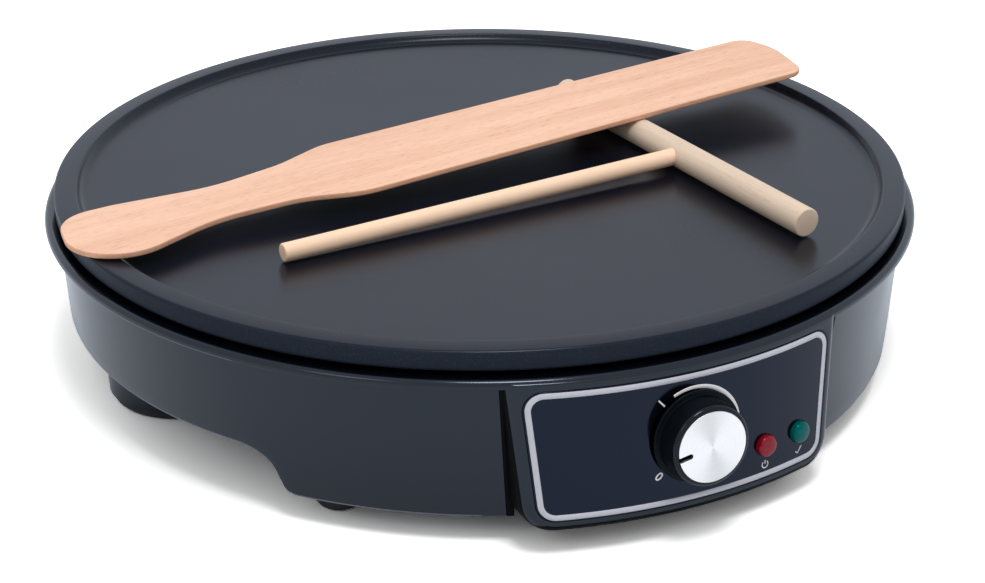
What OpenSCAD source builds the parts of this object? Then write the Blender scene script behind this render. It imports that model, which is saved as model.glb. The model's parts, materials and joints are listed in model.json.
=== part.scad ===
// Electric crepe maker with a round non-stick plate, a dial thermostat behind a curved
// front panel, and its wooden spatula and batter spreader lying on the plate.
// Millimetres. +Z is up, the origin is on the plate's axis at the level of the worktop,
// and the control panel faces -Y.

/* [Cooking plate] */
// Outer radius of the plate
plate_r = 150; // [140:0.5:155]
// Height of the rim's top above the worktop
rim_z = 67; // [65:0.5:72]
// Width of the flat top of the rim
rim_w = 7.7; // [5:0.1:10]
// Depth of the cooking surface below the rim
plate_dip = 3; // [2:0.1:4]
// Height of the plate's outer side
plate_side_h = 5.7; // [5:0.1:6.5]
// Thickness of the plate under the cooking surface
plate_t = 5.5; // [4.5:0.1:6]

/* [Heating element] */
// Radius of the element's loop
element_r = 95; // [85:1:100]
// Radius of the element's steel tube
element_tube_r = 3.3; // [3:0.1:4]
// Angle that the loop leaves open at the back
element_gap_a = 28; // [20:1:40]
// Number of saddle clamps that hold the loop
clamp_count = 4; // [3:1:6]
// Thickness of the clamps' strip
clamp_t = 1.2; // [0.8:0.1:1.5]

/* [Housing] */
// Outer radius of the flange round the top of the housing
flange_r = 153.9; // [152.5:0.1:156]
// Height of the flange's edge
flange_t = 2.8; // [2.2:0.1:3.2]
// Gap between the underside of the plate's rim and the flange
plate_gap = 2.3; // [1.5:0.1:3]
// Radius of the opening in the top of the housing
flange_hole_r = 141.2; // [140.8:0.1:143]
// Outer radius of the wall just under the flange
wall_r = 148.7; // [147:0.1:151]
// Thickness of the wall
wall_t = 2.5; // [2:0.1:3]
// How much the wall draws in per millimetre of height
wall_draft = 0.05; // [0:0.01:0.08]
// Radius of the wall's fuller front, just under the flange
front_r = 140; // [136:0.5:144]
// How much the fuller front draws in per millimetre of height
front_draft = 0.1; // [0.05:0.01:0.12]
// Height of the skirt's lower edge at the sides and the back
skirt_z = 24; // [20:0.5:27]
// Height of the skirt's lower edge at the front
skirt_front_z = 10; // [8:0.5:11]
// Half the width of the deep front skirt, at the middle of its S-shaped step
skirt_half_w = 112.8; // [110:0.1:120]
// Slope of the straight part of the step, in degrees
step_slope = 72; // [45:1:75]
// Radius of the step's upper bend
step_top_r = 10; // [2:0.1:12]
// Radius of the step's lower bend
step_bend_r = 3.5; // [2:0.1:5]

/* [Control panel] */
// Radius of the panel's curved face at the flange
face_r = 154.2; // [153.9:0.1:156]
// How much the face leans out per millimetre below the flange
face_flare = 0.09; // [0.05:0.01:0.11]
// Half the width of the panel block at the flange
block_half_top = 57.6; // [54:0.1:62]
// Half the width of the panel block at its bottom
block_half_bottom = 53.4; // [50:0.1:56]
// Height of the panel block's lower edge
block_z = 8.8; // [7:0.1:10]
// Radius of the panel block's lower corners
block_corner_r = 10; // [6:0.5:14]
// Thickness of the block's walls
block_t = 2.6; // [2:0.1:3]
// Margin of the block round the inlaid panel
panel_margin = 4.1; // [3.6:0.1:6]
// Thickness of the inlaid panel
panel_t = 0.8; // [0.6:0.1:1.2]
// Height of the upper edge of the inlaid panel
panel_top_z = 55.2; // [52:0.1:55.8]
// Corner radius of the inlaid panel
panel_corner_r = 6; // [4:0.5:8]
// Width of the silver border
border_w = 2; // [1.5:0.1:3]
// Thickness of the silver border
border_t = 0.25; // [0.2:0.05:0.4]

/* [Dial] */
// Height of the dial's axis where it leaves the panel
dial_z = 34.6; // [33:0.1:36]
// Radius of the dial's base
dial_base_r = 14.9; // [14:0.1:16]
// Radius of the dial at its front
dial_front_r = 12.9; // [12:0.1:13.5]
// Height of the dial above the panel
dial_h = 10.4; // [9:0.1:14]
// Radius of the aluminium cap
cap_r = 11.7; // [10:0.1:12]
// Width of the pointer groove in the cap
pointer_w = 1.2; // [0.8:0.1:2]
// Length of the pointer groove
pointer_len = 4.4; // [3:0.1:7]
// Direction of the pointer as it is set, in degrees anticlockwise from the right
pointer_a = 190; // [180:1:220]
// Radius of the thermostat's shaft
shaft_r = 3; // [2.5:0.05:3.2]
// Height of the shaft over its flat
shaft_d_h = 5.2; // [4.6:0.05:5.4]

/* [Lamps] */
// Distance of the power lamp from the panel's middle
power_x = 26; // [24:0.5:30]
// Distance of the ready lamp from the panel's middle
ready_x = 40; // [38:0.5:44]
// Height of both lamps
lamp_z = 24; // [22:0.5:26]
// Radius of the lamps' lenses
lens_r = 3.5; // [3:0.1:4]
// Height of the lenses above the panel
lens_h = 2.4; // [1.5:0.1:3.5]

/* [Thermostat] */
// Distance from the panel's face to the thermostat's bracket
bracket_d = 11; // [10:0.5:13]
// Thickness of the bracket and of the base plate
bracket_t = 1.2; // [1:0.1:1.6]
// Distance of the two bracket screws from the shaft
bracket_screw_x = 17; // [15:0.5:19]
// Distance of the ceramic stack from the shaft
stack_y = 13; // [12:0.5:14]
// Radius of the ceramic rings
stack_r = 4.5; // [3.5:0.1:5]
// Height of the first ceramic ring
ring_h = 3; // [2.6:0.1:3.4]
// Height of the other ceramic rings
ring2_h = 2.6; // [2.2:0.1:3]
// Thickness of the contact leaves
leaf_t = 0.4; // [0.3:0.05:0.6]
// Thickness of the bimetal leaf
bimetal_t = 0.8; // [0.6:0.1:1]
// Thickness of the terminals
tab_t = 0.8; // [0.6:0.1:1]

/* [Base cover] */
// Thickness of the base cover
cover_t = 2.2; // [1.8:0.1:2.6]
// Height of the underside of the base cover
cover_z = 26; // [25:0.5:28]
// Height of the underside of the front pocket
pocket_z = 12; // [11:0.5:13]
// Half the width of the front pocket
pocket_half_w = 104; // [102:0.5:106]
// Distance from the plate's axis to the back of the front pocket
pocket_back = 84; // [82:0.5:85]
// Number of vent slots
vent_count = 24; // [12:1:30]
// Radius where the vent slots begin
vent_r = 26; // [22:1:32]
// Length of a vent slot
vent_len = 28; // [20:1:34]
// Width of a vent slot
vent_w = 3; // [2:0.5:4]

/* [Legs and feet] */
// Radius at which the three legs stand
leg_ring_r = 115; // [112:1:116]
// Radius of a leg at the base cover
leg_r = 25.5; // [24:0.5:26]
// Thickness of a leg's wall
leg_t = 2.2; // [1.8:0.1:3]
// Height of a leg's rubber pad
pad_h = 4; // [3:0.5:6]
// Radius of a leg's rubber pad
pad_r = 24.6; // [22:0.1:25]
// Radius at which the front feet stand
foot_ring_r = 131; // [130:0.5:132]
// Angle between the panel's middle and a front foot
foot_a = 44.4; // [43.5:0.1:45]
// Radius of a front foot
foot_r = 8; // [7:0.1:8.4]

/* [Fastening] */
// Radius at which the four plate screws stand
post_ring_r = 116; // [114:0.5:118]
// Angle of the plate screws from the left and right
post_a = 38; // [36:1:40]
// Radius of the plate screws
plate_screw_r = 2; // [1.5:0.1:2.2]
// Height of the top of the posts, where the heat shield lies
post_top_z = 45.4; // [44:0.2:46.6]
// Thickness of the heat shield
shield_t = 0.6; // [0.5:0.1:1]
// Radius of the heat shield
shield_r = 132; // [128:0.5:135]
// Radius of the cover screws
cover_screw_r = 1.5; // [1.2:0.1:1.8]
// Radius at which the cover screws stand
cover_screw_ring_r = 136; // [134:0.5:137]

/* [Cord entry] */
// Height of the cord gland
gland_z = 38; // [37:0.5:38.5]
// Radius of the bore for the cord
cord_r = 3.6; // [3:0.1:4]
// Radius of the gland's body
gland_r = 6.5; // [6:0.1:7]
// Length of the gland's bore
gland_len = 20; // [16:0.5:24]

/* [Spreader] */
// Radius of the spreader's cross-bar
bar_r = 5; // [4:0.1:6]
// Length of the cross-bar
bar_len = 148; // [120:1:160]
// Radius of the spreader's handle
handle_r = 3.1; // [2.6:0.1:4]
// Length of the handle from the cross-bar's axis
handle_len = 157; // [120:1:165]
// Place of the handle along the cross-bar, from its middle
handle_x = -3; // [-6:0.5:6]
// Place of the cross-bar's middle, to the right
bar_x = 64.5; // [60:0.5:68]
// Place of the cross-bar's middle, to the back
bar_y = -28.5; // [-32:0.5:-24]
// Direction of the cross-bar
bar_a = 95.8; // [92:0.1:98]

/* [Spatula] */
// Length of the spatula
spatula_len = 295; // [280:1:310]
// Width of the blade
blade_w = 44; // [38:0.5:48]
// Length of the blade
blade_len = 197; // [180:1:205]
// Width of the grip at its narrowest
grip_w = 27; // [22:0.5:32]
// Width of the grip's end
grip_end_w = 39.5; // [34:0.5:42]
// Thickness of the spatula
spatula_t = 2.2; // [1.8:0.1:4]
// Direction of the spatula
spatula_a = 7.35; // [5:0.05:9]
// Place of the middle of the spatula's blade end, to the right
spatula_x = 139.7; // [136:0.1:143]
// Place of the middle of the spatula's blade end, to the back
spatula_y = 25.4; // [22:0.1:29]

/* [Hidden] */
$fn = 96;

// Clearances
seat = 0.3;      // between a piece and the curved seat that it rests in
slack = 0.4;     // between a hole and the screw or pin through it
run = 0.05;      // radial running clearance of the shaft
film = 0.1;      // under the inlaid panel

// Levels of the plate and the housing
cook_z = rim_z - plate_dip;
under_z = cook_z - plate_t;
rim_under_z = rim_z - plate_side_h;
flange_z = rim_under_z - plate_gap;
flange_low_z = flange_z - flange_t;
wall_top_z = flange_z - flange_t / 2;
cook_r = plate_r - rim_w - plate_dip * 0.55;
step_r = flange_hole_r - 1.7;
front_shift = face_r - front_r;

// Levels of the base
cover_top_z = cover_z + cover_t;
pocket_top_z = pocket_z + cover_t;
shield_top_z = post_top_z + shield_t;
boss_z = shield_top_z + 7;
notch_half_w = 62;
notch_back = 90;
block_top_z = flange_z - 0.6;

// Panel geometry
face_tilt = atan(face_flare);
function face_at(z) = face_r + face_flare * (flange_low_z + 0.8 - z);
dial_r = face_at(dial_z);
block_slope = (block_half_top - block_half_bottom) / (flange_low_z + 0.8 - block_z);
panel_floor_t = panel_t + film;
panel_wall_t = panel_floor_t + 2.2;

// Thermostat stack, counted inwards from the panel's face
base_d = bracket_d + bracket_t;
ring1_d = base_d + bracket_t;
leaf_a_d = ring1_d + ring_h;
tab_a_d = leaf_a_d + leaf_t;
ring2_d = tab_a_d + tab_t;
tab_b_d = ring2_d + ring2_h;
leaf_b_d = tab_b_d + tab_t;
ring3_d = leaf_b_d + leaf_t;
bimetal_d = ring3_d + ring2_h;
strap_d = bimetal_d + bimetal_t;
stack_end_d = strap_d + bracket_t;
rivet_r = 1.5;
rivet_hole_r = rivet_r + 0.3;
contact_y = -7;
contact_r = 1.8;
contact_gap = 0.2;
leaf_w = 6;
leaf_low_y = contact_y - 3;
leaf_high_y = stack_y + stack_r - 0.5;
tab_w = 6.3;
tab_len = 17;

// Element
element_z = under_z - 3;
bend_r = 7;
stub_len = 2;
end_y = stub_len + bend_r;
end_drop = 4;
tube_end_z = element_z - bend_r - end_drop;
seal_h = 4;
pin_h = 6;
pin_r = 1.2;
clamp_w = 12;
clamp_screw_x = 10.5;
clamp_screw_r = 1.5;
clamp_pad_len = 2 * clamp_screw_x + 9;
clamp_first_a = 90 + 180 / clamp_count;

// Spreader and spatula rest on the plate, and the spatula on the cross-bar and the rim
bar_z = cook_z + bar_r + seat;
handle_drop = asin((bar_z - (cook_z + handle_r + seat)) / handle_len);
bar_side = [-sin(bar_a), cos(bar_a)];
bar_top_z = bar_z + bar_r + seat;
rim_reach = plate_r - [bar_x, bar_y] * bar_side;
spatula_tilt = atan((bar_top_z - rim_z - seat) / rim_reach);

// Colours
black_coat = "#46484d";
navy = "#2b2e38";
gloss_black = "#1c1f28";
silver = "#c9cbd6";
steel = "#a9abae";
zinc = "#c2c4c6";
ceramic = "#ece8de";
copper = "#b87a4a";

// ---- Outlines ----

function unit(v) = v / norm(v);

// Points of the arc that rounds the corner b between a and c with radius r
function corner(a, b, c, r, n) =
    let (u = unit(a - b), v = unit(c - b), half = acos(u * v) / 2)
    let (m = b + unit(u + v) * r / sin(half))
    let (s = b + u * r / tan(half) - m, e = b + v * r / tan(half) - m)
    let (a0 = atan2(s[1], s[0]), turn = (atan2(e[1], e[0]) - a0 + 540) % 360 - 180)
    [for (i = [0:n]) m + r * [cos(a0 + turn * i / n), sin(a0 + turn * i / n)]];

// Largest radius that leaves its share of the side from a to b to the corner at b
function room(a, b, half) =
    norm([a[0] - b[0], a[1] - b[1]]) * tan(half) * (a[2] == 0 ? 1 : 0.5);

// Outline through [x, y, corner radius] points, each radius limited by its two sides
function rounded(pts, n = 6) = [for (i = [0:len(pts) - 1])
    let (b = pts[i], a = pts[(i + len(pts) - 1) % len(pts)], c = pts[(i + 1) % len(pts)])
    let (u = unit([a[0] - b[0], a[1] - b[1]]), v = unit([c[0] - b[0], c[1] - b[1]]))
    let (half = acos(u * v) / 2, r = min(b[2], room(a, b, half), room(c, b, half)))
    each (b[2] == 0 ? [[b[0], b[1]]]
        : corner([a[0], a[1]], [b[0], b[1]], [c[0], c[1]], r, n))];

// ---- Round leads, swept along a smooth line through chosen points ----

function spline(p, n) = [for (i = [0:len(p) - 2], k = [0:n - (i == len(p) - 2 ? 0 : 1)])
    let (a = p[max(i - 1, 0)], b = p[i], c = p[i + 1], d = p[min(i + 2, len(p) - 1)], t = k / n)
    b + t * (c - a) / 2 + t * t * (a - 2.5 * b + 2 * c - d / 2)
        + t * t * t * (1.5 * b - 1.5 * c + d / 2 - a / 2)];

function tangents(q) = [for (i = [0:len(q) - 1]) unit(q[min(i + 1, len(q) - 1)] - q[max(i - 1, 0)])];

// Side vectors carried along the line without twisting
function sides(t) = [for (i = 0,
        s = unit(cross(t[0], abs(t[0][2]) < 0.9 ? [0, 0, 1] : [1, 0, 0]));
        i < len(t);
        i = i + 1, s = i < len(t) ? unit(s - (s * t[i]) * t[i]) : s) s];

module lead(points, r, steps = 4, n = 8) {
    q = spline(points, steps);
    t = tangents(q);
    s = sides(t);
    rings = [for (i = [0:len(q) - 1], k = [0:n - 1])
        q[i] + r * (cos(360 * k / n) * s[i] + sin(360 * k / n) * cross(t[i], s[i]))];
    walls = [for (i = [0:len(q) - 2], k = [0:n - 1])
        let (a = i * n + k, b = i * n + (k + 1) % n) [a, a + n, b + n, b]];
    polyhedron(rings, concat(walls, [[for (k = [0:n - 1]) k]],
        [[for (k = [n - 1:-1:0]) (len(q) - 1) * n + k]]), convexity = 6);
}

// ---- Places ----

// On the panel's face at height z and x to the right: x right, y up, z out of the face
module on_panel(x, z) {
    r = face_at(z);
    rotate([90 - face_tilt, 0, asin(x / r)])
        translate([0, z * cos(face_tilt) - r * sin(face_tilt), z * sin(face_tilt) + r * cos(face_tilt)])
            children();
}

// The same point that on_panel(0, dial_z) puts at [x, y, z]
function at_dial(x, y, z) = [x, y * sin(face_tilt) - z * cos(face_tilt) - dial_r,
    y * cos(face_tilt) + z * sin(face_tilt) + dial_z];

module around(r, angles) {
    for (a = angles)
        rotate(a)
            translate([r, 0, 0])
                children();
}

module tube(r, hole, h) {
    difference() {
        cylinder(r = r, h = h);
        translate([0, 0, -1])
            cylinder(r = hole, h = h + 2);
    }
}

clamp_angles = [for (i = [0:clamp_count - 1]) clamp_first_a + i * 360 / clamp_count];
post_angles = [post_a, 180 - post_a, 180 + post_a, 360 - post_a];
leg_angles = [0, 90, 180];
foot_angles = [270 - foot_a, 270 + foot_a];
cover_screw_angles = [26, 64, 116, 154, 204, 336];
pocket_screw_angles = [240, 300];

// ---- Plate and element ----

strap_screw_y = -118;
fuse_x = -36;
fuse_y = -114;
earth_x = 36;
earth_tab_len = 9;
earth_y = -116;
small_screw_r = 1.5;
tag_t = 0.8;

// Where the heads of small screws sit on a piece, [x, y] on the plate's underside
plate_screw_spots = [[0, strap_screw_y], [fuse_x, fuse_y + 8.5], [earth_x, earth_y]];

module plate_profile() {
    polygon(concat([[0, cook_z], [cook_r, cook_z]],
        rounded([[cook_r, cook_z, 0], [plate_r - rim_w, rim_z, 0.5], [plate_r, rim_z, 1],
            [plate_r, rim_under_z, 0.8], [step_r + 1.6, rim_under_z, 0],
            [step_r, under_z, 0], [0, under_z, 0]], 4)));
}

module clamp_pad(len, w, h) {
    translate([-len / 2, -w / 2, 0])
        cube([len, w, h]);
}

module cooking_plate() color(black_coat)
    difference() {
        union() {
            rotate_extrude($fn = 180)
                plate_profile();
            translate([0, 0, element_z])
                difference() {
                    cylinder(r = element_r + 7, h = under_z - element_z + 1);
                    translate([0, 0, -1])
                        cylinder(r = element_r - 7, h = under_z - element_z + 3);
                }
            around(element_r, clamp_angles)
                translate([0, 0, element_z])
                    clamp_pad(clamp_pad_len, clamp_w + 2, under_z - element_z + 1);
            around(post_ring_r, post_angles)
                translate([0, 0, boss_z])
                    cylinder(r = 7, h = under_z - boss_z + 1);
        }
        translate([0, 0, element_z])
            rotate_extrude($fn = 120)
                translate([element_r, 0])
                    circle(r = element_tube_r + seat, $fn = 48);
        around(post_ring_r, post_angles)
            translate([0, 0, boss_z - 1])
                cylinder(r = plate_screw_r + 0.1, h = 8);
        around(element_r, clamp_angles)
            for (s = [-1, 1])
                translate([s * clamp_screw_x, 0, element_z - 1])
                    cylinder(r = clamp_screw_r + 0.1, h = 6, $fn = 32);
        for (p = plate_screw_spots)
            translate([p[0], p[1], under_z - 1])
                cylinder(r = small_screw_r + 0.1, h = 4.5, $fn = 32);
    }

// At one end of the loop (s = 1) or the other (s = -1)
module loop_end(s) {
    rotate(90 + s * element_gap_a / 2)
        translate([element_r, 0, element_z])
            children();
}

// At the lower end of the tube there
module tube_end(s) {
    loop_end(s)
        translate([0, -s * end_y, tube_end_z - element_z])
            children();
}

module heating_element() color(steel) {
    union() {
        translate([0, 0, element_z])
            rotate(90 + element_gap_a / 2)
                rotate_extrude(angle = 360 - element_gap_a, $fn = 120)
                    translate([element_r, 0])
                        circle(r = element_tube_r, $fn = 48);
        for (s = [-1, 1]) {
            loop_end(s) {
                rotate([s * 90, 0, 0])
                    cylinder(r = element_tube_r, h = stub_len, $fn = 48);
                translate([0, -s * stub_len, -bend_r])
                    rotate([90, 0, -s * 90])
                        rotate_extrude(angle = 90, $fn = 64)
                            translate([bend_r, 0])
                                circle(r = element_tube_r, $fn = 48);
            }
            tube_end(s)
                cylinder(r = element_tube_r, h = end_drop, $fn = 48);
        }
    }
}

module element_seals() color(ceramic)
    for (s = [-1, 1])
        tube_end(s)
            translate([0, 0, -seal_h])
                tube(element_tube_r - 0.5, pin_r + 0.1, seal_h);

module element_pins() color(steel)
    for (s = [-1, 1])
        tube_end(s)
            translate([0, 0, -seal_h - pin_h])
                cylinder(r = pin_r, h = pin_h + seal_h, $fn = 32);

// Strip bent over the tube: flat tabs and a half-round arch
module clamp_profile() {
    arch_r = element_tube_r + seat;
    difference() {
        union() {
            translate([-clamp_pad_len / 2, -clamp_t])
                square([clamp_pad_len, clamp_t]);
            circle(r = arch_r + clamp_t, $fn = 48);
        }
        circle(r = arch_r, $fn = 48);
        translate([-arch_r - clamp_t - 1, 0])
            square([2 * arch_r + 2 * clamp_t + 2, arch_r + clamp_t + 1]);
    }
}

module element_clamps() color(zinc)
    around(element_r, clamp_angles)
        difference() {
            translate([0, clamp_w / 2, element_z])
                rotate([90, 0, 0])
                    linear_extrude(clamp_w)
                        clamp_profile();
            for (s = [-1, 1])
                translate([s * clamp_screw_x, 0, element_z - clamp_t - 1])
                    cylinder(r = clamp_screw_r + slack, h = clamp_t + 2, $fn = 32);
        }

// Pan-head screw pointing up, its head's seat at z = 0
module screw(r, h) {
    union() {
        cylinder(r = r, h = h, $fn = 32);
        difference() {
            translate([0, 0, -r * 1.1])
                cylinder(r = 2 * r, h = r * 1.1, $fn = 32);
            for (a = [0, 90])
                rotate(a)
                    translate([-1.2 * r, -0.2 * r, -2 * r])
                        cube([2.4 * r, 0.4 * r, 1.4 * r]);
        }
    }
}

module clamp_screws() color(zinc)
    around(element_r, clamp_angles)
        for (s = [-1, 1])
            translate([s * clamp_screw_x, 0, element_z - clamp_t])
                screw(clamp_screw_r, clamp_t + 4.5);

// ---- Shield, spacers and plate screws ----

module heat_shield() color(zinc)
    difference() {
        union() {
            translate([0, 0, post_top_z])
                cylinder(r = shield_r, h = shield_t, $fn = 180);
            translate([0, 0, post_top_z])
                tube(shield_r, shield_r - shield_t, 5);
        }
        around(post_ring_r, post_angles)
            translate([0, 0, post_top_z - 1])
                cylinder(r = plate_screw_r + slack, h = shield_t + 2, $fn = 32);
        for (s = [-1, 1])
            tube_end(s)
                translate([0, 0, -seal_h])
                    cylinder(r = element_tube_r + 3, h = end_drop + seal_h);
        translate([-notch_half_w, -shield_r - 1, post_top_z - 1])
            cube([2 * notch_half_w, shield_r + 1 - notch_back, 8]);
    }

module plate_spacers() color(zinc)
    around(post_ring_r, post_angles)
        translate([0, 0, shield_top_z])
            tube(4.5, plate_screw_r + slack, boss_z - shield_top_z);

module plate_screws() color(zinc)
    around(post_ring_r, post_angles)
        translate([0, 0, cover_top_z])
            screw(plate_screw_r, boss_z + 6 - cover_top_z);

// ---- Housing ----

module flange_profile() {
    polygon(rounded([[flange_hole_r, flange_z - 5.8, 0], [flange_hole_r, flange_z - 1.6, 0.5],
        [flange_r - 3.1, flange_z, 0], [flange_r, flange_z, 0.9], [flange_r, flange_low_z, 0.5],
        [wall_r - 3, flange_low_z, 0], [flange_hole_r + 2.2, flange_low_z - 0.8, 0],
        [flange_hole_r + 2.2, flange_z - 5.8, 0]], 4));
}

// Solid inside the wall's outer face, drawn in by inset
module wall_body(inset, z0, z1) {
    translate([0, 0, z0])
        cylinder(r1 = wall_r - inset - wall_draft * (wall_top_z - z0),
            r2 = wall_r - inset - wall_draft * (wall_top_z - z1), h = z1 - z0, $fn = 180);
    translate([0, -front_shift, z0])
        cylinder(r1 = front_r - inset - front_draft * (wall_top_z - z0),
            r2 = front_r - inset - front_draft * (wall_top_z - z1), h = z1 - z0, $fn = 180);
}

// What lies inside the panel's face, which leans outwards going down
module face_body(inset, z0, z1) {
    translate([0, 0, z0])
        cylinder(r1 = face_at(z0) - inset, r2 = face_at(z1) - inset, h = z1 - z0, $fn = 180);
}

// Front view of the deep skirt, with an S-shaped step at each side
module skirt_front() {
    rise = skirt_z - skirt_front_z;
    run_x = rise / tan(step_slope);
    inner_x = skirt_half_w - run_x / 2;
    outer_x = skirt_half_w + run_x / 2;
    top_r = min(step_top_r, 0.75 * rise);
    polygon(rounded([[-inner_x, skirt_front_z, step_bend_r], [inner_x, skirt_front_z, step_bend_r],
        [outer_x, skirt_z, top_r], [flange_r, skirt_z, 0], [flange_r, wall_top_z, 0],
        [-flange_r, wall_top_z, 0], [-flange_r, skirt_z, 0], [-outer_x, skirt_z, top_r]], 8));
}

// Front view of the panel block, drawn in by inset at the sides and the bottom
module block_front(inset, top_z) {
    low_z = block_z + inset;
    half_low = block_half_bottom + block_slope * inset - inset;
    half_top = block_half_bottom + block_slope * (top_z - block_z) - inset;
    r = max(block_corner_r - inset, 1);
    polygon(rounded([[-half_low, low_z, r], [half_low, low_z, r], [half_top, top_z, 0],
        [-half_top, top_z, 0]], 8));
}

// A front view extruded through the front of the housing
module through_front(y0, y1) {
    translate([0, y1, 0])
        rotate([90, 0, 0])
            linear_extrude(y1 - y0)
                children();
}

module panel_outline(inset) {
    half_low = block_half_bottom - panel_margin + block_slope * panel_margin - inset;
    low_z = block_z + panel_margin + inset;
    top_z = panel_top_z - inset;
    half_top = half_low + block_slope * (top_z - low_z);
    r = max(panel_corner_r - inset, 1);
    polygon(rounded([[-half_low, low_z, r], [half_low, low_z, r], [half_top, top_z, r],
        [-half_top, top_z, r]], 8));
}

module housing_shell() {
    difference() {
        union() {
            rotate_extrude($fn = 180)
                flange_profile();
            difference() {
                intersection() {
                    wall_body(0, skirt_front_z - 2, wall_top_z);
                    union() {
                        through_front(-flange_r - 10, -50)
                            skirt_front();
                        translate([-flange_r, -50, skirt_z])
                            cube([2 * flange_r, flange_r + 60, wall_top_z - skirt_z]);
                    }
                }
                wall_body(wall_t, skirt_front_z - 3, flange_low_z);
                translate([0, 0, flange_low_z - 0.01])
                    cylinder(r = flange_hole_r + 1, h = 10);
            }
            difference() {
                intersection() {
                    face_body(0, block_z - 1, block_top_z);
                    through_front(-flange_r - 20, -110)
                        block_front(0, block_top_z);
                }
                wall_body(wall_t, block_z - 2, flange_low_z);
                translate([0, 0, flange_low_z - 0.01])
                    cylinder(r = flange_hole_r + 1, h = 10);
            }
        }
        // Hollow of the panel block
        intersection() {
            face_body(panel_wall_t, block_z, flange_low_z - 1);
            through_front(-flange_r - 20, -110)
                block_front(block_t, flange_low_z - 1);
        }
    }
}

module cover_boss(z0, h) {
    union() {
        translate([0, 0, z0])
            cylinder(r = 4, h = h);
        translate([0, -1.25, z0])
            cube([wall_r - cover_screw_ring_r - 2.6, 2.5, h]);
    }
}

// Boss that a screw of the cover is driven into, tied to the wall by a rib
module cover_bosses() {
    intersection() {
        union() {
            around(cover_screw_ring_r, cover_screw_angles)
                cover_boss(cover_top_z, 12);
            around(cover_screw_ring_r, pocket_screw_angles)
                cover_boss(pocket_top_z, 12);
        }
        wall_body(wall_t / 2, pocket_z, wall_top_z);
    }
}

module housing() color(navy)
    difference() {
        union() {
            housing_shell();
            cover_bosses();
            on_panel(0, dial_z)
                for (s = [-1, 1])
                    translate([s * bracket_screw_x, 0, -bracket_d])
                        cylinder(r = 3.4, h = bracket_d - panel_floor_t - 0.8);
        }
        // Recess of the inlaid panel
        difference() {
            through_front(-flange_r - 20, -110)
                panel_outline(-film);
            face_body(panel_floor_t, block_z, block_top_z + 2);
        }
        on_panel(0, dial_z) {
            translate([0, 0, -bracket_d])
                cylinder(r = shaft_r + 1.2, h = 20);
            for (s = [-1, 1])
                translate([s * bracket_screw_x, 0, -bracket_d - 1])
                    cylinder(r = small_screw_r + 0.1, h = 8, $fn = 32);
        }
        for (x = [power_x, ready_x])
            on_panel(x, lamp_z)
                translate([0, 0, -8])
                    cylinder(r = lens_r + 0.1, h = 12);
        around(cover_screw_ring_r, cover_screw_angles)
            translate([0, 0, cover_top_z - 1])
                cylinder(r = cover_screw_r + 0.1, h = 11, $fn = 32);
        around(cover_screw_ring_r, pocket_screw_angles)
            translate([0, 0, pocket_top_z - 1])
                cylinder(r = cover_screw_r + 0.1, h = 11, $fn = 32);
        translate([0, wall_r - 12, gland_z])
            rotate([-90, 0, 0])
                cylinder(r = gland_r + 0.1, h = 20);
    }

module control_panel() color(gloss_black)
    difference() {
        intersection() {
            through_front(-flange_r - 20, -110)
                panel_outline(0);
            difference() {
                face_body(0, block_z, block_top_z);
                face_body(panel_t, block_z - 1, block_top_z + 1);
            }
        }
        on_panel(0, dial_z)
            translate([0, 0, -5])
                cylinder(r = shaft_r + 1.2, h = 10);
        for (x = [power_x, ready_x])
            on_panel(x, lamp_z)
                translate([0, 0, -5])
                    cylinder(r = lens_r + 0.1, h = 10);
    }

module panel_border() color(silver)
    intersection() {
        through_front(-flange_r - 20, -110)
            difference() {
                panel_outline(0.4);
                panel_outline(0.4 + border_w);
            }
        difference() {
            face_body(-border_t - 0.02, block_z, block_top_z);
            face_body(-0.02, block_z - 1, block_top_z + 1);
        }
    }

// ---- Dial ----

hub_r = 5;
hub_flat_y = shaft_d_h - shaft_r;
clip_t = 0.3;

module dial_profile() {
    polygon(rounded([[dial_base_r - 2.2, 0.6, 0], [dial_base_r, 0.6, 0.3], [dial_base_r, 2.8, 0.8],
        [dial_front_r + 0.7, 3.2, 0.4], [dial_front_r, dial_h - 0.3, 1.3], [cap_r + 0.1, dial_h - 0.3, 0],
        [cap_r + 0.1, dial_h - 1.2, 0], [0, dial_h - 1.2, 0], [0, dial_h - 3, 0],
        [dial_front_r - 2.2, dial_h - 3, 0.8]], 4));
}

// D-shaped hole for the shaft, with room for the spring clip against the flat
module d_hole(r, flat_y, h) {
    intersection() {
        cylinder(r = r, h = h, $fn = 64);
        translate([-r - 1, -r - 1, 0])
            cube([2 * r + 2, r + 1 + flat_y, h]);
    }
}

module dial_knob() color(gloss_black)
    on_panel(0, dial_z)
        rotate(pointer_a - 180)
            difference() {
                union() {
                    rotate_extrude($fn = 120)
                        dial_profile();
                    translate([0, 0, 0.8])
                        cylinder(r = hub_r, h = dial_h - 3);
                }
                translate([0, 0, -1])
                    d_hole(shaft_r + run, hub_flat_y + clip_t + 0.15, dial_h - 2.4);
                // pointer channel under the cap's groove
                translate([-cap_r - 0.1, -pointer_w / 2, dial_h - 1.8])
                    cube([pointer_len, pointer_w, 2]);
            }

module knob_cap() color("#dfe0e3")
    on_panel(0, dial_z)
        rotate(pointer_a - 180)
            translate([0, 0, dial_h - 1.2])
                difference() {
                    rotate_extrude($fn = 120)
                        polygon(rounded([[0, 0, 0], [cap_r, 0, 0], [cap_r, 1.2, 0.25], [0, 1.2, 0]], 4));
                    hull()
                        for (x = [-cap_r - 2, -cap_r + pointer_len - pointer_w / 2])
                            translate([x, 0, -1])
                                cylinder(r = pointer_w / 2, h = 4, $fn = 32);
                }

module knob_clip() color(steel)
    on_panel(0, dial_z)
        rotate(pointer_a - 180)
            translate([-1.4, hub_flat_y + 0.05, 1.4])
                cube([2.8, clip_t, 4.5]);

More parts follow.
